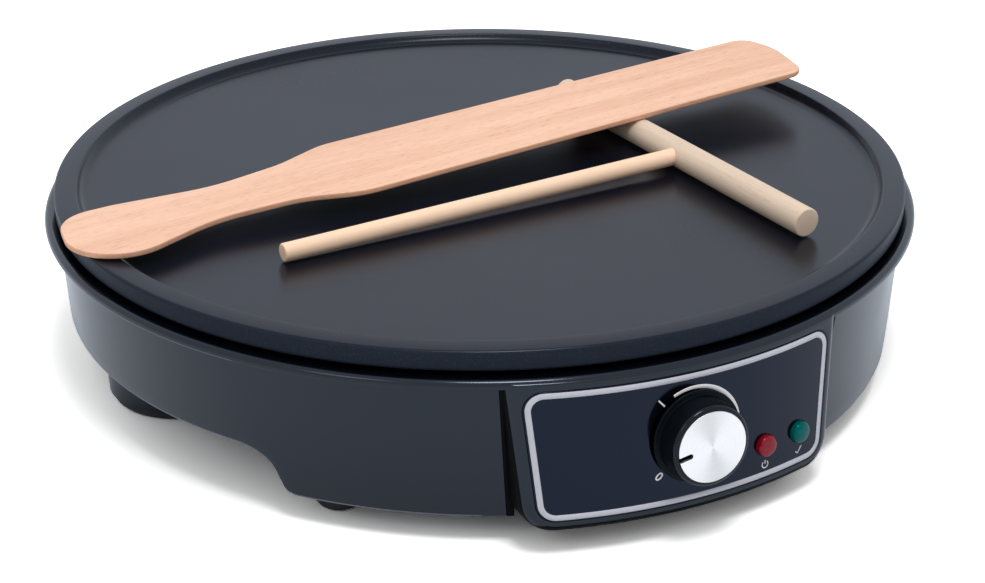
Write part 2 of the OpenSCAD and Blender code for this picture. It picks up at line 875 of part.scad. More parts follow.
module thermostat_shaft() color(steel)
    on_panel(0, dial_z)
        rotate(pointer_a - 180)
            union() {
                translate([0, 0, -ring1_d - 0.2])
                    cylinder(r = shaft_r, h = ring1_d + 0.2 - 1, $fn = 64);
                translate([0, 0, -1])
                    d_hole(shaft_r, hub_flat_y, dial_h - 2.7);
                translate([0, 0, -leaf_a_d + 0.15])
                    cylinder(r = 1.2, h = ring_h - 0.2, $fn = 32);
            }

// ---- Thermostat ----

nut_w = 13;

module thermostat_base() color(zinc)
    on_panel(0, dial_z)
        difference() {
            union() {
                translate([-6.5, leaf_low_y, -ring1_d])
                    cube([13, stack_y + 5.5 - leaf_low_y, bracket_t]);
                translate([0, 0, -base_d])
                    cylinder(r = 5, h = base_d - panel_wall_t - 1.2);
            }
            translate([0, 0, -ring1_d - 1])
                cylinder(r = shaft_r + run, h = ring1_d, $fn = 64);
            translate([0, stack_y, -ring1_d - 1])
                cylinder(r = rivet_hole_r, h = 4, $fn = 32);
        }

module shaft_nut() color(steel)
    on_panel(0, dial_z)
        translate([0, 0, -bracket_d])
            difference() {
                cylinder(r = nut_w / 2 / cos(30), h = 2.8, $fn = 6);
                translate([0, 0, -1])
                    cylinder(r = 5.1, h = 5);
            }

module thermostat_bracket() color(zinc)
    on_panel(0, dial_z)
        translate([0, 0, -base_d])
            difference() {
                linear_extrude(bracket_t)
                    polygon(rounded([[-bracket_screw_x - 5, -5, 3], [bracket_screw_x + 5, -5, 3],
                        [bracket_screw_x + 5, 5, 3], [8, 9, 3], [-8, 9, 3],
                        [-bracket_screw_x - 5, 5, 3]], 5));
                translate([0, 0, -1])
                    cylinder(r = 5.1, h = 4);
                for (s = [-1, 1])
                    translate([s * bracket_screw_x, 0, -1])
                        cylinder(r = small_screw_r + slack, h = 4, $fn = 32);
            }

module bracket_screws() color(zinc)
    on_panel(0, dial_z)
        for (s = [-1, 1])
            translate([s * bracket_screw_x, 0, -base_d])
                screw(small_screw_r, bracket_t + 6);

module ceramic_stack() color(ceramic)
    on_panel(0, dial_z)
        translate([0, stack_y, 0]) {
            translate([0, 0, -leaf_a_d])
                tube(stack_r, rivet_hole_r, ring_h);
            translate([0, 0, -tab_b_d])
                tube(stack_r, rivet_hole_r, ring2_h);
            translate([0, 0, -bimetal_d])
                tube(stack_r, rivet_hole_r, ring2_h);
            // Pusher between the bimetal and the switch leaf
            translate([0, -stack_y - 2.5, -bimetal_d + 0.1])
                cylinder(r = 1, h = ring2_h - 0.2, $fn = 32);
        }

module stack_rivet() color(steel)
    on_panel(0, dial_z)
        translate([0, stack_y, -stack_end_d - 1.2])
            union() {
                cylinder(r = 2.8, h = 1.2, $fn = 32);
                cylinder(r = rivet_r, h = stack_end_d - base_d + 1.2, $fn = 32);
            }

module leaf(d, t, w, low_y) {
    translate([0, 0, -d - t])
        difference() {
            linear_extrude(t)
                polygon(rounded([[-w / 2, low_y, 1], [w / 2, low_y, 1], [w / 2, leaf_high_y, 1],
                    [-w / 2, leaf_high_y, 1]], 4));
            translate([0, stack_y, -1])
                cylinder(r = rivet_hole_r, h = t + 2, $fn = 32);
        }
}

module contact_leaf() color(copper)
    on_panel(0, dial_z)
        union() {
            leaf(leaf_a_d, leaf_t, leaf_w, leaf_low_y);
            translate([0, contact_y, -(tab_a_d + leaf_b_d - contact_gap) / 2])
                cylinder(r = contact_r, h = (leaf_b_d - tab_a_d - contact_gap) / 2, $fn = 32);
        }

module switch_leaf() color(copper)
    on_panel(0, dial_z)
        union() {
            leaf(leaf_b_d, leaf_t, leaf_w, leaf_low_y);
            translate([0, contact_y, -leaf_b_d])
                cylinder(r = contact_r, h = (leaf_b_d - tab_a_d - contact_gap) / 2, $fn = 32);
        }

module bimetal_leaf() color("#9c8f78")
    on_panel(0, dial_z)
        leaf(bimetal_d, bimetal_t, 8, leaf_low_y + 2);

module tab(side, d) {
    difference() {
        translate([side > 0 ? -stack_r : -tab_len, stack_y - tab_w / 2, -d - tab_t])
            cube([tab_len + stack_r, tab_w, tab_t]);
        translate([0, stack_y, -d - 2])
            cylinder(r = rivet_hole_r, h = 4, $fn = 32);
    }
}

module thermostat_tabs() color("#c9a24a")
    on_panel(0, dial_z) {
        tab(-1, tab_a_d);
        tab(1, tab_b_d);
    }

// Aluminium strap that carries the plate's heat to the bimetal
strap_w = 14;
strap_y = strap_d * cos(face_tilt) - dial_r;

module heat_strap() color("#b8babd")
    difference() {
        intersection() {
            union() {
                on_panel(0, dial_z)
                    translate([-strap_w / 2, stack_y - 6, -stack_end_d])
                        cube([strap_w, 30, bracket_t]);
                translate([-strap_w / 2, strap_y + 1, under_z - bracket_t])
                    cube([strap_w, strap_screw_y + 6 - strap_y, bracket_t]);
            }
            translate([-strap_w, -shield_r - 10, 0])
                cube([2 * strap_w, 60, under_z]);
        }
        on_panel(0, dial_z)
            translate([0, stack_y, -stack_end_d - 1])
                cylinder(r = rivet_hole_r, h = 4, $fn = 32);
        translate([0, strap_screw_y, under_z - 4])
            cylinder(r = small_screw_r + slack, h = 5, $fn = 32);
    }

module strap_screw() color(zinc)
    translate([0, strap_screw_y, under_z - bracket_t])
        screw(small_screw_r, bracket_t + 3);

// ---- Lamps ----

module lens(x) {
    on_panel(x, lamp_z)
        difference() {
            rotate_extrude($fn = 64)
                polygon(rounded([[0, -6, 0], [lens_r, -6, 0], [lens_r, lens_h, 1.6], [0, lens_h + 0.4, 0]], 6));
            translate([0, 0, -7])
                cylinder(r = lens_r - 0.9, h = 7.6, $fn = 48);
        }
}

module power_lens() color([0.75, 0.05, 0.1, 0.85]) lens(power_x);

module ready_lens() color([0.0, 0.45, 0.36, 0.85]) lens(ready_x);

module lens_clips() color(steel)
    for (x = [power_x, ready_x])
        on_panel(x, lamp_z)
            translate([0, 0, -panel_wall_t - seat - 0.6])
                tube(lens_r + 2.2, lens_r + 0.1, 0.6);

module neon_lamps() color([0.95, 0.9, 0.85, 0.6])
    for (x = [power_x, ready_x])
        on_panel(x, lamp_z)
            translate([0, 0, -12])
                cylinder(r = lens_r - 1.2, h = 12.2, $fn = 32);

// ---- Base cover, legs and feet ----

module cover_plan(gap) {
    union() {
        circle(r = wall_r - wall_t - gap - wall_draft * (wall_top_z - pocket_z), $fn = 180);
        translate([0, -front_shift])
            circle(r = front_r - wall_t - gap - front_draft * (wall_top_z - pocket_z), $fn = 180);
    }
}

module pocket_plan(inset) {
    translate([-pocket_half_w + inset, -flange_r - 10])
        square([2 * pocket_half_w - 2 * inset, flange_r + 10 - pocket_back - inset]);
}

module leg_shell() {
    // Hollow round leg, closed just above its rubber pad
    top = cover_z;
    difference() {
        union() {
            translate([0, 0, pad_h])
                cylinder(r1 = pad_r + 0.4, r2 = leg_r, h = top - pad_h + 0.5);
        }
        translate([0, 0, pad_h + leg_t])
            cylinder(r1 = pad_r + 0.4 - leg_t, r2 = leg_r - leg_t, h = top - pad_h - leg_t + cover_t + 1);
        translate([0, 0, pad_h - 1])
            cylinder(r = 4, h = 10);
    }
}

module base_cover() color(navy)
    difference() {
        union() {
            difference() {
                translate([0, 0, cover_z])
                    linear_extrude(cover_t)
                        cover_plan(slack);
                translate([0, 0, cover_z - 1])
                    linear_extrude(cover_t + 2)
                        pocket_plan(cover_t);
                around(leg_ring_r, leg_angles)
                    translate([0, 0, cover_z - 1])
                        cylinder(r = leg_r - leg_t, h = cover_t + 2);
            }
            difference() {
                translate([0, 0, pocket_z])
                    linear_extrude(cover_top_z - pocket_z)
                        intersection() {
                            cover_plan(slack);
                            pocket_plan(0);
                        }
                translate([0, 0, pocket_top_z])
                    linear_extrude(cover_top_z)
                        pocket_plan(cover_t);
            }
            around(leg_ring_r, leg_angles)
                leg_shell();
            around(post_ring_r, post_angles)
                translate([0, 0, cover_top_z - 1])
                    cylinder(r = 5, h = post_top_z - cover_top_z + 1);
            cord_posts();
            translate([-tb_len / 2, tb_y - tb_w / 2, cover_top_z - 1])
                cube([tb_len, tb_w, tb_pad_h + 1]);
        }
        for (s = [-1, 1])
            translate([s * pole_pitch / 2, tb_y, cover_z + 1])
                cylinder(r = tb_screw_r + 0.1, h = 10, $fn = 32);
        around(post_ring_r, post_angles) {
            translate([0, 0, cover_z - 1])
                cylinder(r = plate_screw_r + slack, h = 30, $fn = 32);
            translate([0, 0, cover_z - 1])
                cylinder(r = 2 * plate_screw_r + slack, h = cover_t + 1, $fn = 48);
        }
        around(cover_screw_ring_r, cover_screw_angles)
            translate([0, 0, cover_z - 1])
                cylinder(r = cover_screw_r + slack, h = cover_t + 2, $fn = 32);
        around(cover_screw_ring_r, pocket_screw_angles)
            translate([0, 0, pocket_z - 1])
                cylinder(r = cover_screw_r + slack, h = cover_t + 2, $fn = 32);
        around(foot_ring_r, foot_angles)
            translate([0, 0, pocket_z - 1])
                cylinder(r = 3, h = cover_t + 2, $fn = 48);
        for (i = [0:vent_count - 1])
            rotate(i * 360 / vent_count)
                translate([0, 0, cover_z - 1])
                    linear_extrude(cover_t + 2)
                        vent_slot();
    }

module vent_slot() {
    union() {
        translate([vent_r, -vent_w / 2])
            square([vent_len, vent_w]);
        for (x = [vent_r, vent_r + vent_len])
            translate([x, 0])
                circle(r = vent_w / 2, $fn = 24);
    }
}

module cover_screws() color(zinc) {
    around(cover_screw_ring_r, cover_screw_angles)
        translate([0, 0, cover_z])
            screw(cover_screw_r, cover_t + 9);
    around(cover_screw_ring_r, pocket_screw_angles)
        translate([0, 0, pocket_z])
            screw(cover_screw_r, cover_t + 9);
}

module leg_pads() color("#232428")
    around(leg_ring_r, leg_angles)
        rotate_extrude($fn = 96)
            polygon(rounded([[0, 0, 0], [pad_r, 0, 3.6], [pad_r, pad_h, 0.4], [3.9, pad_h, 0],
                [3.9, pad_h + leg_t + 1, 0.6], [0, pad_h + leg_t + 1, 0]], 5));

module front_feet() color("#232428")
    around(foot_ring_r, foot_angles)
        rotate_extrude($fn = 64)
            polygon(rounded([[0, 0, 0], [foot_r - 0.6, 0, 3.5], [foot_r, pocket_z, 0.4], [2.9, pocket_z, 0],
                [2.9, pocket_top_z, 0], [3.5, pocket_top_z + 0.05, 0], [2.6, pocket_top_z + 3, 0],
                [0, pocket_top_z + 3, 0]], 5));

// ---- Fuse, terminal block, cord entry ----

fuse_len = 12;
fuse_r = 2;
sleeve_r = 2.9;
sleeve_len = 22;
fuse_z = under_z - sleeve_r - 0.2;
lead_r = 1.3;

module along_x(x, y, z) {
    translate([x, y, z])
        rotate([0, 90, 0])
            children();
}

module thermal_fuse() color("#d8cfa8")
    union() {
        along_x(fuse_x - fuse_len / 2, fuse_y, fuse_z)
            cylinder(r = fuse_r, h = fuse_len, $fn = 48);
        along_x(fuse_x - sleeve_len / 2 - 2, fuse_y, fuse_z)
            cylinder(r = 0.6, h = sleeve_len + 4, $fn = 24);
    }

module fuse_sleeve() color("#efe9da")
    along_x(fuse_x - sleeve_len / 2, fuse_y, fuse_z)
        tube(sleeve_r, fuse_r + 0.1, sleeve_len);

module fuse_clip() color(zinc) {
    clip_r = sleeve_r + 0.1;
    difference() {
        union() {
            along_x(fuse_x - 4, fuse_y, fuse_z)
                tube(clip_r + tag_t, clip_r, 8);
            translate([fuse_x - 4, fuse_y + 1, under_z - tag_t])
                cube([8, 12, tag_t]);
        }
        translate([fuse_x - 5, fuse_y - clip_r - 3, under_z - 0.001])
            cube([10, 20, 5]);
        along_x(fuse_x - 5, fuse_y, fuse_z)
            cylinder(r = clip_r, h = 10);
        translate([fuse_x, fuse_y + 8.5, under_z - 3])
            cylinder(r = small_screw_r + slack, h = 4, $fn = 32);
    }
}

tb_y = 56;
tb_len = 38;
tb_w = 16;
tb_h = 11;
tb_pad_h = 4;
tb_z = cover_top_z + tb_pad_h;
tb_bore_z = tb_z + tb_h / 2;
tb_screw_r = 1.25;
pole_pitch = 12;

module terminal_block() color(ceramic)
    difference() {
        translate([-tb_len / 2, tb_y - tb_w / 2, tb_z])
            cube([tb_len, tb_w, tb_h]);
        for (i = [-1:1]) {
            translate([i * pole_pitch, tb_y - tb_w / 2 - 1, tb_bore_z])
                rotate([-90, 0, 0])
                    cylinder(r = 3, h = tb_w + 2, $fn = 48);
            for (s = [-1, 1])
                translate([i * pole_pitch, tb_y + s * 4.5, tb_bore_z])
                    cylinder(r = 2, h = tb_h, $fn = 32);
        }
        for (s = [-1, 1])
            translate([s * pole_pitch / 2, tb_y, tb_z - 1])
                cylinder(r = tb_screw_r + slack, h = tb_h + 2, $fn = 32);
    }

module block_screws() color(zinc)
    for (s = [-1, 1])
        translate([s * pole_pitch / 2, tb_y, tb_z + tb_h])
            rotate([180, 0, 0])
                screw(tb_screw_r, tb_h + tb_pad_h);

module block_clamps() color("#c9a24a")
    for (i = [-1:1])
        difference() {
            union() {
                translate([i * pole_pitch, tb_y - tb_w / 2 + 1, tb_bore_z])
                    rotate([-90, 0, 0])
                        cylinder(r = 3 - seat, h = tb_w - 2, $fn = 48);
                for (s = [-1, 1])
                    translate([i * pole_pitch, tb_y + s * 4.5, tb_bore_z])
                        cylinder(r = 1.6, h = 5, $fn = 32);
            }
            for (s = [-1, 1])
                translate([i * pole_pitch, tb_y + s * 9, tb_bore_z])
                    rotate([s * 90, 0, 0])
                        cylinder(r = lead_r + seat, h = 7, $fn = 32);
        }

module earth_tag() color("#c9a24a")
    union() {
        difference() {
            translate([earth_x - 4, earth_y - 4, under_z - tag_t])
                cube([8, 20, tag_t]);
            translate([earth_x, earth_y, under_z - 2])
                cylinder(r = small_screw_r + slack, h = 3, $fn = 32);
        }
        translate([earth_x - tab_w / 2, earth_y + 16 - tag_t, under_z - earth_tab_len])
            cube([tab_w, tag_t, earth_tab_len]);
    }

module tag_screws() color(zinc)
    for (p = [plate_screw_spots[1], plate_screw_spots[2]])
        translate([p[0], p[1], under_z - tag_t])
            screw(small_screw_r, tag_t + 3);

gland_y = wall_r - wall_draft * (wall_top_z - gland_z);

module cord_gland() color("#1f2024")
    translate([0, gland_y + 3, gland_z])
        rotate([90, 0, 0])
            difference() {
                union() {
                    cylinder(r = gland_r + 2.5, h = 2.4);
                    cylinder(r = gland_r, h = gland_len);
                }
                translate([0, 0, -1])
                    cylinder(r = cord_r, h = gland_len + 2);
            }

module gland_nut() color("#1f2024")
    translate([0, gland_y - wall_t - 0.6, gland_z])
        rotate([90, 0, 0])
            difference() {
                cylinder(r = gland_r + 3, h = 4, $fn = 6);
                translate([0, 0, -1])
                    cylinder(r = gland_r + 0.1, h = 6);
            }

clamp_y = 88;
clamp_post_x = 11;
clamp_post_h = 6;
clamp_bar_t = 3;

module cord_posts() {
    for (s = [-1, 1])
        translate([s * clamp_post_x, clamp_y, cover_top_z - 1])
            difference() {
                cylinder(r = 3.5, h = clamp_post_h + 1);
                translate([0, 0, 1.5])
                    cylinder(r = small_screw_r + 0.1, h = 10, $fn = 32);
            }
}

module cord_clamp() color("#1f2024")
    translate([0, clamp_y, cover_top_z + clamp_post_h])
        difference() {
            translate([-clamp_post_x - 4, -4, 0])
                cube([2 * clamp_post_x + 8, 8, clamp_bar_t]);
            for (s = [-1, 1])
                translate([s * clamp_post_x, 0, -1])
                    cylinder(r = small_screw_r + slack, h = clamp_bar_t + 2, $fn = 32);
        }

module cord_clamp_screws() color(zinc)
    for (s = [-1, 1])
        translate([s * clamp_post_x, clamp_y, cover_top_z + clamp_post_h + clamp_bar_t])
            rotate([180, 0, 0])
                screw(small_screw_r, clamp_bar_t + 4.5);

// ---- Inner leads ----

tb_front = tb_y - tb_w / 2 + 0.5;
element_pin = [for (s = [-1, 1]) let (a = 90 + s * element_gap_a / 2)
    [element_r * cos(a) + s * end_y * sin(a), element_r * sin(a) - s * end_y * cos(a),
        tube_end_z - seal_h - pin_h - seat]];
tab_a_end = at_dial(-tab_len - seat, stack_y, -tab_a_d - tab_t / 2);
tab_b_end = at_dial(tab_len + seat, stack_y, -tab_b_d - tab_t / 2);
fuse_wire = fuse_len / 2 + 7 + seat;
earth_end = [earth_x, earth_y + 16 + lead_r + seat, under_z - earth_tab_len + 3];

module live_lead() color("#6b3a22")
    lead([[-pole_pitch, tb_front, tb_bore_z], [-pole_pitch, tb_front - 10, tb_bore_z], [-30, 20, 34],
        [-44, -40, 34], [-40, -90, 34], [-32, -122, 40], tab_a_end - [7, -2, 0.5], tab_a_end], lead_r);

module switched_lead() color("#8c2a22")
    lead([tab_b_end, tab_b_end + [7, 3, -0.5], [30, -116, 40], [20, -100, 36], [-8, -98, 36],
        [-14, -108, 46], [fuse_x + fuse_wire + 4, fuse_y, fuse_z - 0.5],
        [fuse_x + fuse_wire, fuse_y, fuse_z]], lead_r);

module fused_lead() color("#8c2a22")
    lead([[fuse_x - fuse_wire, fuse_y, fuse_z], [fuse_x - fuse_wire - 4, fuse_y + 2, fuse_z - 2], [-55, -104, 46],
        [-56, -80, 38], [-56, -40, 36], [-50, 20, 36], [-40, 70, 34],
        element_pin[1] + [-12, -6, -2], element_pin[1] + [-6, 1, -4], element_pin[1] - [0.6, 0, 3],
        element_pin[1]], lead_r);

module neutral_lead() color("#2f4f8c")
    lead([[pole_pitch, tb_front, tb_bore_z], [pole_pitch, tb_front - 8, tb_bore_z], [30, 40, 33], [40, 66, 33],
        element_pin[0] + [12, -6, -2], element_pin[0] + [6, 1, -4], element_pin[0] + [0.6, 0, -3],
        element_pin[0]], lead_r);

module earth_lead() color("#5a8f3a")
    lead([[0, tb_front, tb_bore_z], [0, tb_front - 10, tb_bore_z], [10, 10, 33], [30, -50, 33], [40, -84, 36],
        earth_end + [0, 2.5, -7], earth_end + [0, 0.3, -3], earth_end], lead_r);

// ---- Spreader and spatula ----

beech = "#e2b58c";

module at_spreader() {
    translate([bar_x, bar_y, bar_z])
        rotate(bar_a)
            children();
}

module at_handle() {
    translate([handle_x, 0, 0])
        rotate([-90 - handle_drop, 0, 0])
            children();
}

module spreader_bar() color(beech)
    at_spreader()
        difference() {
            translate([-bar_len / 2, 0, 0])
                rotate([0, 90, 0])
                    cylinder(r = bar_r, h = bar_len, $fn = 64);
            at_handle()
                translate([0, 0, -1.5])
                    cylinder(r = handle_r + 0.05, h = bar_r + 4, $fn = 64);
        }

module spreader_handle() color(beech)
    at_spreader()
        at_handle()
            translate([0, 0, -1.4])
                cylinder(r = handle_r, h = handle_len + 1.4, $fn = 64);

// Seen from above, the blade's end at x = 0 and the grip's end at x = -spatula_len
module spatula_outline() {
    grip_len = spatula_len - blade_len;
    half_blade = blade_w / 2;
    half_grip = grip_w / 2;
    half_end = grip_end_w / 2;
    polygon(rounded([[-0.5, half_blade - 1.5, 8], [2.5, 4, 30], [-4.5, -half_blade, 8],
        [-blade_len, -half_blade - 0.5, 34],
        [-blade_len - 0.2 * grip_len, -half_grip - 1, 40],
        [-blade_len - 0.52 * grip_len, -half_grip + 0.5, 60],
        [-blade_len - 0.84 * grip_len, -half_end - 3.5, 18],
        [-spatula_len - 3, -half_end + 5, 12.5],
        [-spatula_len + 4, half_end - 1, 11],
        [-blade_len - 0.76 * grip_len, half_end - 2, 40],
        [-blade_len - 0.42 * grip_len, half_grip - 1.6, 60],
        [-blade_len - 0.14 * grip_len, half_grip + 2, 40],
        [-blade_len + 6, half_blade + 0.5, 22]], 6));
}

module spatula() color("#f0b48a")
    translate([0, 0, bar_top_z])
        translate([bar_x, bar_y, 0])
            rotate(bar_a)
                rotate([-spatula_tilt, 0, 0])
                    rotate(-bar_a)
                        translate([spatula_x - bar_x, spatula_y - bar_y, 0])
                            rotate(spatula_a)
                                linear_extrude(spatula_t)
                                    spatula_outline();

cooking_plate();
heating_element();
element_seals();
element_pins();
element_clamps();
clamp_screws();
heat_shield();
plate_spacers();
plate_screws();
housing();
control_panel();
panel_border();
dial_knob();
knob_cap();
knob_clip();
thermostat_shaft();
thermostat_base();
shaft_nut();
thermostat_bracket();
bracket_screws();
ceramic_stack();
stack_rivet();
contact_leaf();
switch_leaf();
bimetal_leaf();
thermostat_tabs();
heat_strap();
strap_screw();
power_lens();
ready_lens();
lens_clips();
neon_lamps();
base_cover();
cover_screws();
leg_pads();
front_feet();
thermal_fuse();
fuse_sleeve();
fuse_clip();
terminal_block();
block_clamps();
earth_tag();
tag_screws();
block_screws();
cord_gland();
gland_nut();
cord_clamp();
cord_clamp_screws();
live_lead();
switched_lead();
fused_lead();
neutral_lead();
earth_lead();
spreader_bar();
spreader_handle();
spatula();
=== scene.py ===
"""Electric crepe maker: finished pieces, finishes and a plain studio.

Every length is in metres in the frame of the CAD model: +Z is up, the plate's axis is
the Z axis, the worktop is at Z = 0 and the control panel faces -Y.
"""

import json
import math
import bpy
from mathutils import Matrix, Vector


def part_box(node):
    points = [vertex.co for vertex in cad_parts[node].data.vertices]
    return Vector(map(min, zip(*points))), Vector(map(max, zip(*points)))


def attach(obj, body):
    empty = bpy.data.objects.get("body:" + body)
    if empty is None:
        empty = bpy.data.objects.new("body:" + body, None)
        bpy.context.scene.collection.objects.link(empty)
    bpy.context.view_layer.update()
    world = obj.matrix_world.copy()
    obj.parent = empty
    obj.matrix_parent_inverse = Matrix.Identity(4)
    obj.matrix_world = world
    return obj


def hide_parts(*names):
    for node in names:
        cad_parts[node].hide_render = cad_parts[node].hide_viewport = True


bl_info = {
    "name": "Crepe Maker",
    "version": (1, 0, 0),
    "blender": (4, 5, 0),
    "location": "3D View > Sidebar > Crepe Maker",
    "description": "Builds the finished pieces and the studio of an electric crepe maker",
    "category": "Object",
}

import bmesh
import bpy
import numpy as np
from bpy.props import FloatProperty, FloatVectorProperty, IntProperty, PointerProperty
from mathutils import Matrix, Vector

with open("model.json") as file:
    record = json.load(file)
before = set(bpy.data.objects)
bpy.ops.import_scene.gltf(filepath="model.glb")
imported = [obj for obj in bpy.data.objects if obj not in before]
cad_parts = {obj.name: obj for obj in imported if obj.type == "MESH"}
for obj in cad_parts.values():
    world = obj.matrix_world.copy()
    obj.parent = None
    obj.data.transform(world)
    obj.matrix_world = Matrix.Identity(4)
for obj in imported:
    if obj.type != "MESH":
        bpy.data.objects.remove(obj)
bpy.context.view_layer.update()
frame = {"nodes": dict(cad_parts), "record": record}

MM = 0.001

# Upper corners of two CAD boxes
PLATE_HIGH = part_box("cooking_plate")[1]
PANEL_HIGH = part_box("control_panel")[1]

# Shared sizes: ring and angles of the plate's bosses and screws, hole of the dial's shaft,
# cord gland, gap under what lies loose, and height and root of printed ink
BOSS_RING, BOSS_TURNS = 116 * MM, (38, 142, 218, 322)
SHAFT_HOLE = 4.2 * MM
GLAND_HEIGHT, GLAND_RADIUS = 38 * MM, 6.5 * MM
LIE_GAP = 0.3 * MM
INK, INK_SUNK = 0.1 * MM, 0.05 * MM


# ---------------------------------------------------------------- sizes and colours

def length(name, description, default):
    """A length in metres that a user may change."""
    return FloatProperty(name=name, description=description, default=default, min=0.0,
                         subtype="DISTANCE", unit="LENGTH", precision=4)


def angle(name, description, degrees):
    """An angle that a user may change."""
    return FloatProperty(name=name, description=description, default=math.radians(degrees),
                         subtype="ANGLE", unit="ROTATION")


def factor(name, description, default, top=1.0):
    """A plain number between 0 and top."""
    return FloatProperty(name=name, description=description, default=default, min=0.0, max=top)


def colour(name, description, default, top=1.0):
    """A colour in linear light."""
    return FloatVectorProperty(name=name, description=description, default=default, size=3,
                               min=0.0, max=top, subtype="COLOR")


class CrepePlateSizes(bpy.types.PropertyGroup):
    radius: length("Radius", "Outer radius of the cooking plate", round(PLATE_HIGH[1], 4))
    rim_top: length("Rim height", "Height of the rim above the worktop", PLATE_HIGH[2])
    rim_width: length("Rim width", "Width of the flat top of the rim", 7.7 * MM)
    dish_depth: length("Dish depth", "Depth of the cooking surface below the rim", 3 * MM)
    side_height: length("Side height", "Height of the plate's outer side", 6.8 * MM)
    thickness: length("Thickness", "Thickness under the cooking surface", 5.5 * MM)
    step_radius: length("Step radius", "Radius of the step that centres the plate", 139.5 * MM)
    element_radius: length("Element radius", "Radius of the groove for the element", 95 * MM)
    segments: IntProperty(name="Segments", description="Faces round the plate", default=384, min=24)


class CrepeHousingSizes(bpy.types.PropertyGroup):
    flange_radius: length("Flange radius", "Outer radius of the flange", 153.9 * MM)
    flange_top: length("Flange height", "Height of the flange's top", 59 * MM)
    flange_edge: length("Flange edge", "Height of the flange's edge", 2.8 * MM)
    hole_radius: length("Hole radius", "Radius of the opening in the top", 141.2 * MM)
    wall_radius: length("Wall radius", "Radius of the wall under the flange", 149.8 * MM)
    wall_draft: factor("Wall draft", "How much the wall draws in going down", 0.05)
    front_radius: length("Front radius", "Radius of the wall's fuller front", 140 * MM)
    front_draft: factor("Front draft", "How much the fuller front draws in going down", 0.1)
    wall: length("Wall thickness", "Thickness of the moulded wall", 2.5 * MM)
    edge: length("Lower edge", "Rounding of the wall's lower edge", 0.9 * MM)
    skirt: length("Skirt height", "Height of the lower edge at the sides and back", 24 * MM)
    front_skirt: length("Front skirt height", "Height of the lower edge in front", 9.5 * MM)
    skirt_half_width: length("Half width of skirt", "Half width of the deep front skirt", 112.8 * MM)
    step_top: length("Upper step bend", "Radius of the upper bend of the skirt's step", 10 * MM)
    step_bend: length("Lower step bend", "Radius of the lower bend of the skirt's step", 3.5 * MM)
    step_slope: angle("Step slope", "Slope of the step in the skirt", 72)


class CrepePanelSizes(bpy.types.PropertyGroup):
    face_radius: length("Face radius", "Radius of the curved face at the flange", 154.2 * MM)
    face_flare: factor("Face flare", "How much the face leans out going down", 0.09)
    half_top: length("Half width at top", "Half width of the block at the flange", 57.6 * MM)
    half_bottom: length("Half width at bottom", "Half width of the block's lower edge", 53.4 * MM)
    bottom: length("Bottom", "Height of the block's lower edge", 8.8 * MM)
    top: length("Top", "Height of the block's upper edge", 58.4 * MM)
    corner: length("Corner", "Radius of the block's lower corners", 10 * MM)
    wall: length("Wall thickness", "Thickness of the block's walls", 2.6 * MM)
    edge: length("Edge rounding", "Rounding of the block's front edge", 3 * MM)
    top_edge: length("Top edge rounding", "Rounding of the block's edge at the flange", 1.1 * MM)
    margin: length("Margin", "Margin of the block round the inlaid panel", 4.1 * MM)
    inlay_top: length("Inlay top", "Height of the inlaid panel's upper edge", PANEL_HIGH[2])
    inlay_corner: length("Inlay corner", "Corner radius of the inlaid panel", 6 * MM)
    inlay: length("Inlay thickness", "Thickness of the inlaid panel", 0.8 * MM)
    border: length("Border width", "Width of the silver border", 1.75 * MM)
    border_height: length("Border height", "Height of the silver border", 0.25 * MM)
    lamp_height: length("Lamp height", "Height of both lamps", 24 * MM)
    power_x: length("Power lamp", "Distance of the power lamp from the middle", 26 * MM)
    ready_x: length("Ready lamp", "Distance of the ready lamp from the middle", 40 * MM)
    lens_radius: length("Lens radius", "Radius of the lamps' lenses", 3.5 * MM)
    lens_height: length("Lens height", "Height of the lenses above the panel", 2.4 * MM)


class CrepeDialSizes(bpy.types.PropertyGroup):
    height: length("Axis height", "Height of the dial's axis at the panel", 34.6 * MM)
    base_radius: length("Base radius", "Radius of the dial's base", 14.9 * MM)
    front_radius: length("Front radius", "Radius of the dial at its front", 12.9 * MM)
    depth: length("Depth", "Height of the dial above the panel", 10.4 * MM)
    cap_radius: length("Cap radius", "Radius of the aluminium cap", 11.45 * MM)
    cap_thickness: length("Cap thickness", "Thickness of the aluminium cap", 1.2 * MM)
    pointer_width: length("Pointer width", "Width of the pointer groove", 1.7 * MM)
    pointer_length: length("Pointer length", "Length of the pointer groove", 4.6 * MM)
    pointer: angle("Pointer", "Direction of the pointer as it is set", 190)
    mark_radius: length("Mark radius", "Distance of the marks from the dial's axis", 16.8 * MM)
    mark_height: length("Mark height", "Height of the numbers", 2.9 * MM)


